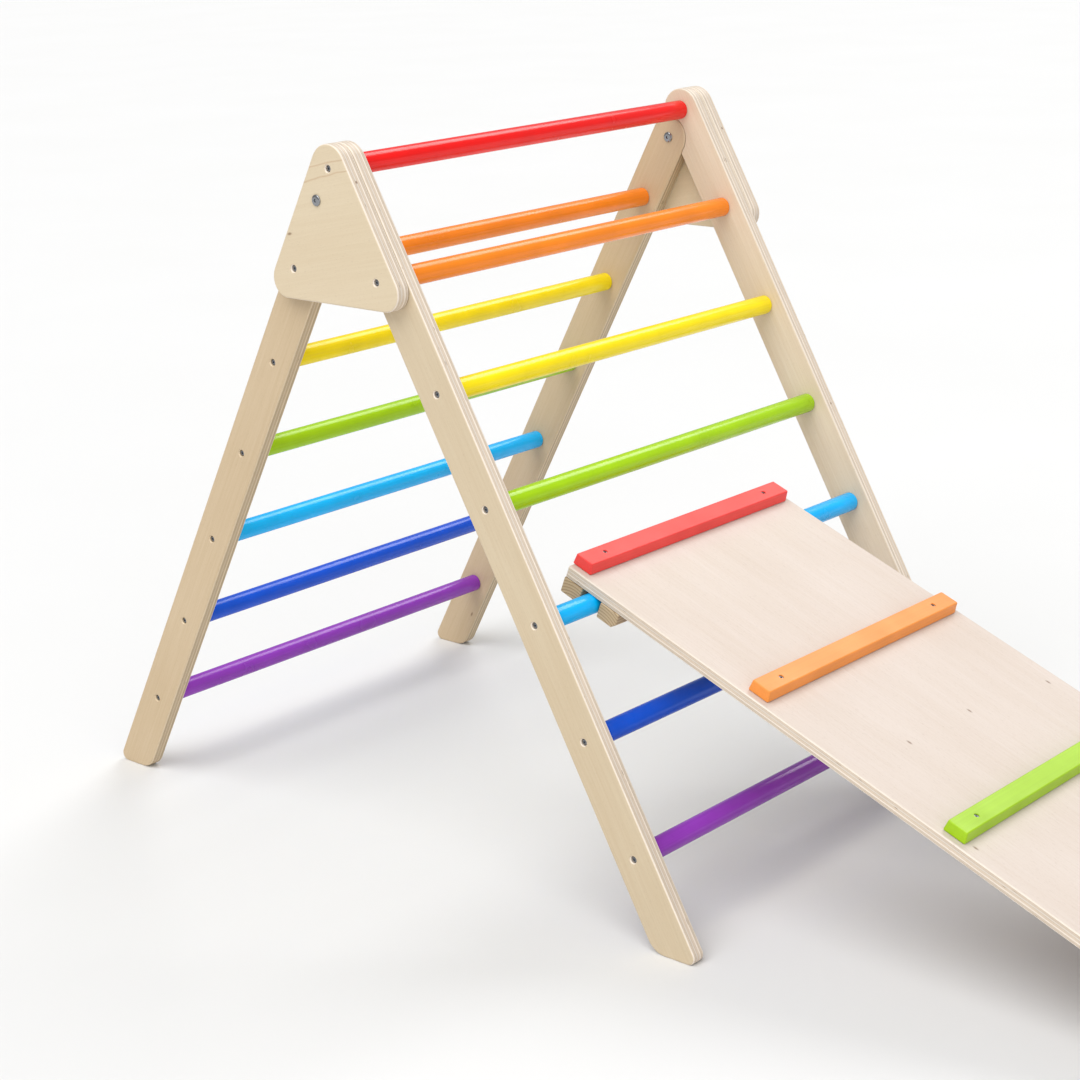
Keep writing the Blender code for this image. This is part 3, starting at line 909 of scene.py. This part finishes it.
@dataclass(frozen=True)
class WoodScrew:
    """Pan-head wood screw with a hexagon socket. Levels run up from under the head."""

    shank_radius: float = 0.0022
    core_radius: float = 0.0017
    thread_pitch: float = 0.0018
    ridge_width: float = 0.00045
    point_length: float = 0.0044
    plain_length: float = 0.0022
    head_radius: float = 0.0036
    head_height: float = 0.0026
    rim_height: float = 0.0012
    dome_spread: float = 0.0013
    socket_radius: float = 0.0016
    socket_depth: float = 0.0014

    def surface(self, length: float) -> Surface:
        """Turns the screw, of a length from under its head: point, thread ridges and head."""
        ridges = int((length - self.point_length - self.plain_length) / self.thread_pitch)
        level = np.repeat(np.arange(ridges + 1), 2) * self.thread_pitch
        level += self.point_length - length
        level[1::2] += self.ridge_width
        radius = np.tile([self.core_radius, self.shank_radius], ridges + 1)
        return turned([(0, -length), *zip(radius, level), (self.shank_radius, 0),
                       *socket_head(self)])

    def drive(self, node: str, side: Side) -> None:
        """Builds the screw where its CAD node is, with its head outwards on a side."""
        tip, top = reach_of(node)
        under = top - self.head_height
        seat = side.seat(under).shifted(*side_view(node))
        finish_piece(f"{node}.plated", self.surface(under - tip).seated(seat),
                     PlatedSteel(Plating.BLACK_ZINC).made(), node)


@dataclass(frozen=True)
class CountersunkScrew:
    """Countersunk cleat screw with a hexagon socket. Level 0 is the top of its head."""

    shank_radius: float = 0.0017
    head_radius: float = 0.0029
    rim_height: float = 0.0004
    head_height: float = 0.0024
    socket_radius: float = 0.0014
    socket_depth: float = 0.0014
    length: float = 0.022

    def surface(self) -> Surface:
        """Turns the screw: point, shank, cone, rim and socket."""
        tip = -self.length
        return turned([(0, tip), (self.shank_radius, tip + 2 * self.shank_radius),
                       (self.shank_radius, -self.head_height), (self.head_radius, -self.rim_height),
                       (self.head_radius, 0), (self.socket_radius, 0, 1),
                       (self.socket_radius, -self.socket_depth, 1), (0, -self.socket_depth)])


@dataclass(frozen=True)
class PivotFastener:
    """Joint bolt and sleeve nut, both with a domed flange head and a hexagon socket."""

    head_radius: float = 0.0065
    head_height: float = 0.002
    rim_height: float = 0.0006
    dome_spread: float = 0.0032
    socket_radius: float = 0.0024
    socket_depth: float = 0.0012
    bolt_radius: float = 0.003
    chamfer: float = 0.00075
    sleeve_radius: float = 0.0042
    bore_clearance: float = 0.0003

    def bolt(self, length: float) -> Surface:
        """Turns the bolt, of a length from under its head: chamfered tip, shank and head."""
        return turned([(0, -length), (self.bolt_radius - self.chamfer, -length),
                       (self.bolt_radius, self.chamfer - length), (self.bolt_radius, 0),
                       *socket_head(self)])

    def nut(self, length: float, depth: float) -> Surface:
        """Turns the sleeve nut: bore, mouth, sleeve and head.

        Args:
            length: from under the head to the sleeve's mouth.
            depth: of the bore.

        Returns:
            The nut.
        """
        bore = self.bolt_radius + self.bore_clearance
        return turned([(0, depth - length), (bore, depth - length), (bore, -length),
                       (self.sleeve_radius, -length), (self.sleeve_radius, 0),
                       *socket_head(self)])


def socket_head(fastener: WoodScrew | PivotFastener) -> list[tuple[float, ...]]:
    """Returns the steps of a domed head and its hexagon socket, from level 0 under the head."""
    top, floor = fastener.head_height, fastener.head_height - fastener.socket_depth
    dome = quarter(fastener.head_radius, fastener.rim_height, top - fastener.rim_height,
                   fastener.dome_spread)
    return [(fastener.head_radius, 0), *dome, (fastener.socket_radius, top, 1),
            (fastener.socket_radius, floor, 1), (0, floor)]


# --- the frame ---

@dataclass(frozen=True)
class Rail:
    """Sizes that all four rails and both side plates share."""

    width: float = 0.054
    thickness: float = 0.018
    round_over: float = 0.002
    outer_foot: float = 0.009
    inner_foot: float = 0.025
    notch_clearance: float = 0.0006
    notch_corner: float = 0.0022
    plate_corner: float = 0.022
    bore: float = 0.0025
    sleeve_bore: float = 0.0045
    bolt_bore: float = 0.0033
    counterbore: float = 0.0041
    counterbore_depth: float = 0.005
    broken_edge: float = 0.0012

    def holes(self, nodes: Sequence[str], flush: int = 0) -> list[Hole]:
        """Returns screw holes through a sheet.

        Args:
            nodes: the rungs that the screws hold.
            flush: how many of the first holes go on into a side plate and have no counterbore;
                the others have one, with a broken edge.

        Returns:
            The holes.
        """
        wide, edge, deep = self.counterbore, self.broken_edge, self.counterbore_depth
        sunk = ((wide + edge, 0.0), (wide, edge), (wide, deep), (self.bore, deep))
        return [Hole(tuple(side_view(node)),
                     (*(((self.bore, 0.0),) if i < flush else sunk), (self.bore, self.thickness)))
                for i, node in enumerate(nodes)]

    def plain_hole(self, centre: Array, radius: float) -> Hole:
        """Returns a straight hole."""
        return Hole(tuple(centre), ((radius, 0.0), (radius, self.thickness)))

    def veneered(self, node: str, side: Side, outline: Outline, holes: Sequence[Hole],
                 finish: BirchPlywood, grain: Array, anchor: Array) -> None:
        """Builds a plywood sheet of the frame where its CAD node is.

        Args:
            node: the CAD node.
            side: the side of the frame.
            outline: its outline in the side view.
            holes: its holes.
            finish: its plywood.
            grain: the face grain's direction in the side view.
            anchor: where the pattern starts in the side view.
        """
        inner = reach_of(node)[0]
        material = finish.build(f"birch_plywood_{node}", side.grain_seat(inner, grain, anchor))
        surface = sheet(outline, self.thickness, self.round_over, holes).seated(side.seat(inner))
        finish_piece(f"{node}.veneered", surface, material, node)


@dataclass(frozen=True)
class Capsule:
    """A rail's two long sides and round head, as one line.

    The parameter t is the angle round the head from -90 to 90 degrees, negative on the
    back, and goes on past that as the distance in metres down each side.
    """

    top: Array
    down: Array
    radius: float

    @property
    def across(self) -> Array:
        """The direction to the front side."""
        return np.array([-self.down[1], self.down[0]])

    def normals(self, t: Array) -> Array:
        """Outward normals: -down cos t + across sin t, with t held within the head."""
        angle = np.clip(t, -pi / 2, pi / 2)[:, None]
        return -self.down * np.cos(angle) + self.across * np.sin(angle)

    def points(self, t: Array) -> Array:
        """Points: the head's centre + radius times the normal, moved down past each end."""
        past = np.maximum(np.abs(t) - pi / 2, 0)[:, None]
        return self.top + self.radius * self.normals(t) + past * self.down

    def distance(self, points: Array) -> Array:
        """Distance from the rail's centre line, which starts at the head's centre."""
        away = points - self.top
        run = np.maximum(away @ self.down, 0)[:, None]
        return np.linalg.norm(away - run * self.down, axis=1)

    def parameter(self, point: Array) -> float:
        """The t at which the point's spoke or side lies."""
        run, side = (point - self.top) @ self.down, (point - self.top) @ self.across
        if run < 0:
            return atan2(side, -run)
        return (pi / 2 + run) * (1 if side > 0 else -1)


@dataclass
class Ladder:
    """One ladder: two rails, its rungs and its screws.

    Attributes:
        layout: the places and lines of the frame.
        word: the start of its nodes' names.
        tones: the plywood of the left and the right rail; the right rail's paler veneer is painted
            light, lifting the shade on its inner face.
        lot: where in the plywood's pattern the rails lie.
        side_lot: how far each rail is from that.
        sizes: the rails' sizes.
        screw: the wood screw in each end of a rung.
    """

    layout: Layout
    word: str = ""
    # The right rail takes the paler veneer as painted light, lifting the shade on its inner face.
    tones: tuple[BirchTone, BirchTone] = (BirchTone.STRAW, BirchTone.SHELL)
    lot: float = 0.0
    side_lot: float = 0.7
    sizes: Rail = field(default_factory=Rail)
    screw: WoodScrew = field(default_factory=WoodScrew)

    def build(self) -> None:
        """Builds the rails with their screws, then the rungs."""
        for side, tone in zip(Side, self.tones):
            finish = BirchPlywood(self.sizes.thickness, tone,
                                  lot=self.lot + side.value * self.side_lot)
            capsule = self.capsule()
            self.sizes.veneered(f"{self.word}_rail_{side.word}", side, self.outline(),
                                self.holes(), finish, capsule.down, capsule.top)
            for node in nodes_named(f"{self.word}_screw_", side.word):
                self.screw.drive(node, side)
        for node in self.rungs():
            self.make_rung(node)

    def rungs(self) -> list[str]:
        """Returns the ladder's rungs from the top down."""
        return nodes_named(f"{self.word}_rung_")

    def capsule(self) -> Capsule:
        """Returns the rails' sides and head."""
        raise NotImplementedError

    def holes(self) -> list[Hole]:
        """Returns a rail's holes."""
        raise NotImplementedError

    def outline(self) -> Outline:
        """Returns a rail's outline: foot, front side, round head and back side."""
        capsule, sizes = self.capsule(), self.sizes
        half, down = capsule.radius, capsule.down
        near = capsule.points(np.array([pi / 2, -pi / 2]))
        front, back = near + down * (near[:, 1:] / -down[1])
        feet = (sizes.outer_foot, sizes.inner_foot)
        front_foot, back_foot = feet if down[0] > 0 else feet[::-1]
        return polygon([front, *(near - down * half), back], [front_foot, half, half, back_foot])

    def make_rung(self, node: str) -> None:
        """Builds a rung: a dowel with soft shoulders and a pilot hole in each end."""
        low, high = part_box(node)
        x, z = side_view(node)
        seat = Seat(np.array([x, 0.0, z]), np.array([[1.0, 0, 0], [0, 0, 1.0], [0, -1.0, 0]]))
        surface = Dowel((high[0] - low[0]) / 2, high[1]).surface().seated(seat)
        enamel = Enamel.of(node)
        finish = EnamelOnBeech(enamel.value[0])
        finish_piece(f"{node}.enamelled", surface, finish.build(f"enamel_{node}", ALONG_RUNGS),
                     node)


@dataclass(frozen=True)
class Dowel:
    """A rung's sizes, measured from its middle."""

    radius: float
    half_length: float
    shoulder: float = 0.001
    pilot: float = 0.0025
    pilot_depth: float = 0.0325
    segments: int = 60

    def surface(self) -> Surface:
        """Turns the dowel: pilot hole, end, shoulder and side, then the same in reverse."""
        end, soft = self.half_length, self.shoulder
        bottom = end - self.pilot_depth
        upper = [*quarter(self.radius, end - soft, soft, soft), (self.pilot, end),
                 (self.pilot, bottom + self.pilot), (0, bottom)]
        lower = [(radius, -level) for radius, level in reversed(upper)]
        return turned([*lower, *upper], segments=self.segments)


@dataclass
class FrontLadder(Ladder):
    """The front ladder, whose rails are notched round the rear rails' heads."""

    word: str = "front"
    lot: float = 9.5
    plate_rungs: int = 2

    def capsule(self) -> Capsule:
        """Returns the rails' sides and head, round the top rung."""
        return Capsule(self.layout.apex, self.layout.front_down, self.sizes.width / 2)

    def outline(self) -> Outline:
        """Returns the outline with the notch.

        The notch's two outer corners are arcs whose centres lie where this rail's line, drawn
        a corner's radius smaller, crosses the rear rail's, drawn that much larger.

        Returns:
            Foot, front side, head, notch, back side and foot.
        """
        whole = super().outline()
        own, sizes = self.capsule(), self.sizes
        corner, notch = sizes.notch_corner, sizes.width / 2 + sizes.notch_clearance
        other = Capsule(self.layout.pivot, self.layout.rear_down, notch)
        inner = Capsule(own.top, own.down, own.radius - corner)
        t = np.linspace(0, -pi / 2 - sizes.width, NOTCH_SAMPLES)
        over = other.distance(inner.points(t)) - notch - corner
        turns = t[np.flatnonzero(np.diff(np.sign(over)))][[0, -1]]
        middles = inner.points(turns)
        ends = [other.parameter(middle) for middle in middles]
        out, into = own.normals(turns), -other.normals(np.array(ends))
        leave, enter = np.arctan2(out[:, 1], out[:, 0]), np.arctan2(into[:, 1], into[:, 0])
        head = np.linspace(pi / 2, turns[0], ARC_POINTS)
        hollow = np.linspace(ends[0], min(ends[1], pi / 2), 2 * ARC_POINTS)
        hollow = np.append(hollow, ends[1]) if ends[1] > pi / 2 else hollow
        foot, back = slice(None, ARC_POINTS), slice(-ARC_POINTS, None)
        return Outline.joined([
            Outline(whole.points[foot], whole.normals[foot]),
            Outline(own.points(head), own.normals(head)),
            arc(middles[0], corner, leave[0], enter[0]),
            Outline(other.points(hollow), -other.normals(hollow)),
            arc(middles[1], corner, enter[1], leave[1]),
            Outline(whole.points[back], whole.normals[back])])

    def holes(self) -> list[Hole]:
        """Returns the rung screws' holes; the top two go on through the side plate."""
        return self.sizes.holes(self.rungs(), self.plate_rungs)


@dataclass
class RearLadder(Ladder):
    """The rear ladder, which turns on the two pivot bolts; its rails' birch is tinted darker and
    browner as painted shade for their down-facing edges.
    """

    word: str = "rear"
    # Darker, browner birch as painted shade on the rear rails' edges.
    tones: tuple[BirchTone, BirchTone] = (BirchTone.HONEY, BirchTone.HONEY)
    lot: float = 7.6
    plate_rungs: int = 1

    def capsule(self) -> Capsule:
        """Returns the rails' sides and head, round the pivot."""
        return Capsule(self.layout.pivot, self.layout.rear_down, self.sizes.width / 2)

    def holes(self) -> list[Hole]:
        """Returns the sleeve nut's hole and the rung screws'; the top one is under the plate."""
        return [self.sizes.plain_hole(self.layout.pivot, self.sizes.sleeve_bore),
                *self.sizes.holes(self.rungs(), self.plate_rungs)]


@dataclass
class SidePlates:
    """The two rounded triangles that close the top of the frame, with their fasteners."""

    layout: Layout
    sizes: Rail = field(default_factory=Rail)
    pivot: PivotFastener = field(default_factory=PivotFastener)
    screw: WoodScrew = field(default_factory=WoodScrew)
    pivot_roughness: float = 0.16
    bolt_grip: float = 0.012
    grain_tilt: float = radians(12)
    heart: tuple[float, float] = (0.007, -0.006)
    lot: float = 5.3

    def build(self) -> None:
        """Builds both plates, the lock screws, the pivot bolts and the sleeve nuts."""
        for side in Side:
            self.make_plate(side)
            self.screw.drive(f"lock_screw_{side.word}", side)
            self.make_pivot(side)

    def outline(self, low: float) -> Outline:
        """Returns the plate's outline, whose sloping sides follow the rails' outer edges."""
        half, corner = self.sizes.width / 2, self.sizes.plate_corner
        lean = asin(self.layout.front_down[0])
        x, z = self.layout.apex + np.array([0, half / sin(lean)])
        reach = (z - low) * tan(lean)
        return polygon([[x, z], [x - reach, low], [x + reach, low]], [half, corner, corner])

    def make_plate(self, side: Side) -> None:
        """Builds one plate with its grain nearly level, and heartwood lines on the left one."""
        node = f"side_plate_{side.word}"
        holes = self.sizes.holes(["front_rung_1_red", "front_rung_2_orange", "rear_rung_1_orange"])
        holes.append(self.sizes.plain_hole(self.layout.pivot, self.sizes.bolt_bore))
        finish = BirchPlywood(self.sizes.thickness, BirchTone.CREAM, lot=self.lot + side.value,
                              heart=self.heart if side is Side.LEFT else None)
        grain = np.array([cos(self.grain_tilt), sin(self.grain_tilt)])
        self.sizes.veneered(node, side, self.outline(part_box(node)[0][2]), holes, finish, grain,
                            self.layout.apex)

    def make_pivot(self, side: Side) -> None:
        """Builds the bolt from outside the plate and the nut from inside the rail."""
        material = PlatedSteel(Plating.BRIGHT_ZINC, self.pivot_roughness).made()
        bolt, nut = f"pivot_bolt_{side.word}", f"pivot_nut_{side.word}"
        tip, top = reach_of(bolt)
        under = top - self.pivot.head_height
        seat = side.seat(under).shifted(*self.layout.pivot)
        finish_piece(f"{bolt}.plated", self.pivot.bolt(under - tip).seated(seat), material,
                     bolt)
        near, mouth = reach_of(nut)
        under = near + self.pivot.head_height
        seat = side.seat(under).shifted(*self.layout.pivot)
        inwards = Seat(seat.origin, seat.axes * np.array([[1.0], [1.0], [-1.0]]))
        surface = self.pivot.nut(mouth - under, self.bolt_grip + self.pivot.bore_clearance)
        finish_piece(f"{nut}.plated", surface.seated(inwards), material, nut)


# --- the ramp ---

@dataclass
class Ramp:
    """The board, its cleats with their screws, and the two battens that hook over a rung."""

    layout: Layout
    board_thickness: float = 0.015
    board_corner: float = 0.0026
    board_round: float = 0.002
    cleat_width: float = 0.028
    cleat_top_width: float = 0.0245
    cleat_height: float = 0.014
    cleat_corner: float = 0.0022
    cleat_round: float = 0.0015
    cleat_roughness: float = 0.36
    batten_width: float = 0.028
    batten_height: float = 0.020
    batten_corner: float = 0.0017
    batten_round: float = 0.0015
    batten_chamfer: float = 0.006
    hook_clearance: float = 0.0017
    upper_pith: tuple[float, float] = (-0.045, 0.02)
    lower_pith: tuple[float, float] = (-0.05, 0.006)
    gap: float = 0.0003
    screw_inset: float = 0.036
    screw_sink: float = 0.0012
    screw_clearance: float = 0.0002
    broken_edge: float = 0.0003
    pilot: float = 0.0019
    pilot_depth: float = 0.0095
    screw: CountersunkScrew = field(default_factory=CountersunkScrew)

    def __post_init__(self) -> None:
        """Reads the places that the board, battens and cleats share."""
        along, up = self.layout.ramp_along, self.layout.ramp_up
        self.hook = np.array([self.layout.hook[0], 0.0, self.layout.hook[1]])
        low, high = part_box("front_rung_5_light_blue")
        self.base = (high[0] - low[0]) / 2 + self.gap
        self.flat = Seat(self.hook + up * self.base, np.array([along, [0, 1.0, 0], up]))
        low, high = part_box("ramp_board")
        self.edges = low[1], high[1]
        self.start = (low[0] - self.hook[0] - self.base * up[0]) / along[0]
        top = self.base + self.board_thickness
        self.end = (high[0] - self.hook[0] - top * up[0]) / along[0]
        self.cleats = nodes_named("ramp_cleat_")

    def build(self) -> None:
        """Builds the board, the battens, and each cleat with its two screws."""
        self.make_board()
        self.make_batten("ramp_batten_upper", False)
        self.make_batten("ramp_batten_lower", True)
        for node in self.cleats:
            self.make_cleat(node)

    def screw_places(self) -> Array:
        """Returns the Y of the two screws in a cleat."""
        low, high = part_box(self.cleats[0])
        return np.array([low[1] + self.screw_inset, high[1] - self.screw_inset])

    def cleat_middle(self, node: str) -> float:
        """Returns how far along the board a cleat's middle lies."""
        return float((centre_of(node) - self.hook) @ self.layout.ramp_along)

    def make_board(self) -> None:
        """Builds the board as a sheet whose lower end is cut level with the floor.

        Corners below the floor slide along the board's own normal up to it, and the edge
        where the underside meets the floor is kept as a crease.
        """
        along, up = self.layout.ramp_along, self.layout.ramp_up
        toe = (self.hook[2] + self.base * up[2]) / -along[2]
        (left, right), start, end = self.edges, self.start, self.end
        plan = polygon([[start, left], [end, left], [end, right], [start, right]],
                       [self.board_corner] * 4)
        # The crease's ends join the outline after its first corner and before its last.
        first, second = ARC_POINTS, 3 * ARC_POINTS
        points = np.insert(plan.points, [first, second], [[toe, left], [toe, right]], axis=0)
        normals = np.insert(plan.normals, [first, second], [[0, -1.0], [0, 1.0]], axis=0)
        deep = self.pilot_depth
        pilot = ((self.pilot, 0.0), (self.pilot, deep), (0.0, deep + self.pilot))
        holes = [Hole((self.cleat_middle(node), y), pilot)
                 for node in self.cleats for y in self.screw_places()]
        made = sheet(Outline(points, normals), self.board_thickness, self.board_round, holes,
                     [(first, second + 1)]).seated(self.flat)
        lift = np.maximum(-made.places[..., 2:], 0) / up[2]
        places = made.places + lift * up
        grounded = (places[..., 2] < SAME_PLACE).all(axis=1)
        normals = np.where(grounded[:, None, None], [0.0, 0.0, -1.0], made.normals)
        finish = BirchPlywood(self.board_thickness, BirchTone.ROSE, roughness=0.52, knots=0.2,
                              lot=2.4)
        finish_piece("ramp_board.veneered", Surface(places, normals),
                     finish.build("birch_plywood_ramp_board", self.flat),
                     "ramp_board")

    def make_batten(self, node: str, lower: bool) -> None:
        """Builds a pine batten from its section, carried along Y.

        Args:
            node: the CAD node.
            lower: whether it is the one below the rung, whose lower front corner is cut off.
        """
        high, cut = -self.gap, self.batten_chamfer
        low = high - self.batten_height
        middle = (centre_of(node) - self.hook) @ self.flat.axes.T
        start = self.base + self.hook_clearance if lower else middle[0] - self.batten_width / 2
        end = start + self.batten_width
        front = [[end - cut, low], [end, low + cut]] if lower else [[end, low]]
        corners = [[start, low], *front, [end, high], [start, high]]
        section = polygon(corners, [self.batten_corner] * len(corners))
        along, up = self.layout.ramp_along, self.layout.ramp_up
        seat = Seat(self.flat.origin + np.array([0, self.edges[1], 0]),
                    np.array([along, up, [0, -1.0, 0]]))
        surface = sheet(section, self.edges[1] - self.edges[0], self.batten_round)
        pattern = Seat(self.flat.origin + along * start, np.array([[0, 1.0, 0], up, along]))
        finish = PlanedPine(self.lower_pith if lower else self.upper_pith)
        finish_piece(f"{node}.planed", surface.seated(seat),
                     finish.build(f"planed_pine_{node}", pattern), node)

    def make_cleat(self, node: str) -> None:
        """Builds a cleat, tapered in its width, and its screws in their countersinks.

        A point at height w keeps its place along the cleat and has its place across it
        times 1 - (1 - top / bottom) w / height.

        Args:
            node: the CAD node.
        """
        screw, sink, loose = self.screw, self.screw_sink, self.screw_clearance
        low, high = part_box(node)
        middle = (low[1] + high[1]) / 2
        half, reach = self.cleat_width / 2, (high[1] - low[1]) / 2
        plan = polygon([[-half, -reach], [half, -reach], [half, reach], [-half, reach]],
                       [self.cleat_corner] * 4)
        wide, bore = screw.head_radius + loose, screw.shank_radius + loose
        steps = ((wide + self.broken_edge, 0.0), (wide, self.broken_edge),
                 (wide, sink + screw.rim_height + loose),
                 (bore, sink + screw.head_height + loose), (bore, self.cleat_height))
        places = self.screw_places() - middle
        made = sheet(plan, self.cleat_height, self.cleat_round,
                     [Hole((0.0, y), steps) for y in places])
        squeeze = (1 - self.cleat_top_width / self.cleat_width) / self.cleat_height
        scale = 1 - squeeze * made.places[..., 2]
        tapered, normals = made.places.copy(), made.normals.copy()
        tapered[..., 0] *= scale
        normals[..., 0] /= scale
        normals[..., 2] += squeeze * made.places[..., 0] * normals[..., 0]
        normals /= np.linalg.norm(normals, axis=2, keepdims=True)
        seat = self.flat.shifted(self.cleat_middle(node), middle, self.board_thickness + self.gap)
        enamel = Enamel.of(node)
        # The cleat's paler enamel is painted sheen for the haze of light on its top.
        finish = EnamelOnBeech(enamel.value[1], self.cleat_roughness)
        finish_piece(f"{node}.enamelled", Surface(tapered, normals).seated(seat),
                     finish.build(f"enamel_{node}", ALONG_RUNGS), node)
        for side, y in zip(Side, places):
            at = seat.shifted(0.0, y, self.cleat_height - sink)
            finish_piece(f"{node}_screw_{side.word}", screw.surface().seated(at),
                         PlatedSteel(Plating.BLACK_ZINC).made(),
                         body=BODY_OF[node])


# --- the studio ---

@dataclass(frozen=True)
class SoftSun:
    """An even light as wide as a bank of soft boxes, so that shadows stay soft.

    Attributes:
        name: the light's name.
        place: where it shines from, towards the origin.
        spread: its width in degrees.
        strength: its power.
    """

    name: str
    place: tuple[float, float, float]
    spread: float
    strength: float

    def build(self) -> None:
        """Adds the light, turned from its place to the origin."""
        light = bpy.data.lights.new(self.name, "SUN")
        light.angle, light.energy = radians(self.spread), self.strength
        lamp = bpy.data.objects.new(self.name, light)
        lamp.location = self.place
        lamp.rotation_euler = (-Vector(self.place)).to_track_quat("-Z", "Y").to_euler()
        bpy.context.scene.collection.objects.link(lamp)


@dataclass(frozen=True)
class Studio:
    """Floor, lights and camera. The camera's angles are in degrees and its lens in mm."""

    floor_radius: float = 60.0
    floor_sides: int = 96
    floor_rings: int = 20
    sky: float = 0.45
    azimuth: float = 42.094
    elevation: float = 16.879
    roll: float = -1.778
    distance: float = 2.920
    aim: tuple[float, float, float] = (-0.352, 0.0, 0.3155)
    lens: float = 77.09
    sensor: float = 36.0
    lights: tuple[SoftSun, ...] = (SoftSun("ceiling_light", (0.15, -1.65, 2.5), 56.0, 2.25),
                                   SoftSun("front_fill", (2.5, -1.4, 0.9), 50.0, 0.85),
                                   SoftSun("back_light", (-0.1, 1.9, 2.3), 30.0, 1.0))

    def build(self) -> None:
        """Builds the floor, the sky, the lights and the camera."""
        self.make_floor()
        world = bpy.data.worlds.new("pale_studio")
        world.use_nodes = True
        sky = world.node_tree.nodes["Background"].inputs
        sky["Strength"].default_value = self.sky
        sky["Color"].default_value = (1.0, 1.0, 1.0, 1.0)
        bpy.context.scene.world = world
        bpy.context.scene.view_settings.view_transform = "Standard"
        for light in self.lights:
            light.build()
        self.make_camera()

    def make_floor(self) -> None:
        """Builds a round floor in rings whose radius grows as the square of their number."""
        angle = np.arange(self.floor_sides) * 2 * pi / self.floor_sides
        radius = self.floor_radius * np.linspace(1, 0, self.floor_rings)[:, None, None] ** 2
        flat = radius * spokes(angle)
        places = np.dstack([flat, np.zeros(flat.shape[:2])])
        floor = grid(places).piece("floor", MattFloorPaint().build("matt_floor_paint", ALONG_RUNGS))

    def make_camera(self) -> None:
        """Adds the camera: back (sin a cos e, -cos a cos e, sin e) from its aim, then rolled."""
        a, e, r = radians(self.azimuth), radians(self.elevation), radians(self.roll)
        back = Vector((sin(a) * cos(e), -cos(a) * cos(e), sin(e)))
        right = Vector((cos(a), sin(a), 0))
        up = back.cross(right)
        across, upright = right * cos(r) + up * sin(r), up * cos(r) - right * sin(r)
        camera = bpy.data.objects.new("camera", bpy.data.cameras.new("camera"))
        camera.data.lens = self.lens
        camera.data.sensor_width = self.sensor
        turn = Matrix((across, upright, back)).transposed().to_4x4()
        camera.matrix_world = Matrix.Translation(Vector(self.aim) + back * self.distance) @ turn
        bpy.context.scene.collection.objects.link(camera)
        bpy.context.scene.camera = camera


def main() -> None:
    """Builds the studio and every sub-assembly in order."""
    logging.basicConfig(level=logging.INFO, format="%(name)s %(message)s")
    layout = Layout.read()
    Studio().build()
    for assembly in (FrontLadder(layout), RearLadder(layout), SidePlates(layout), Ramp(layout)):
        assembly.build()


if __name__ == "__main__":
    main()
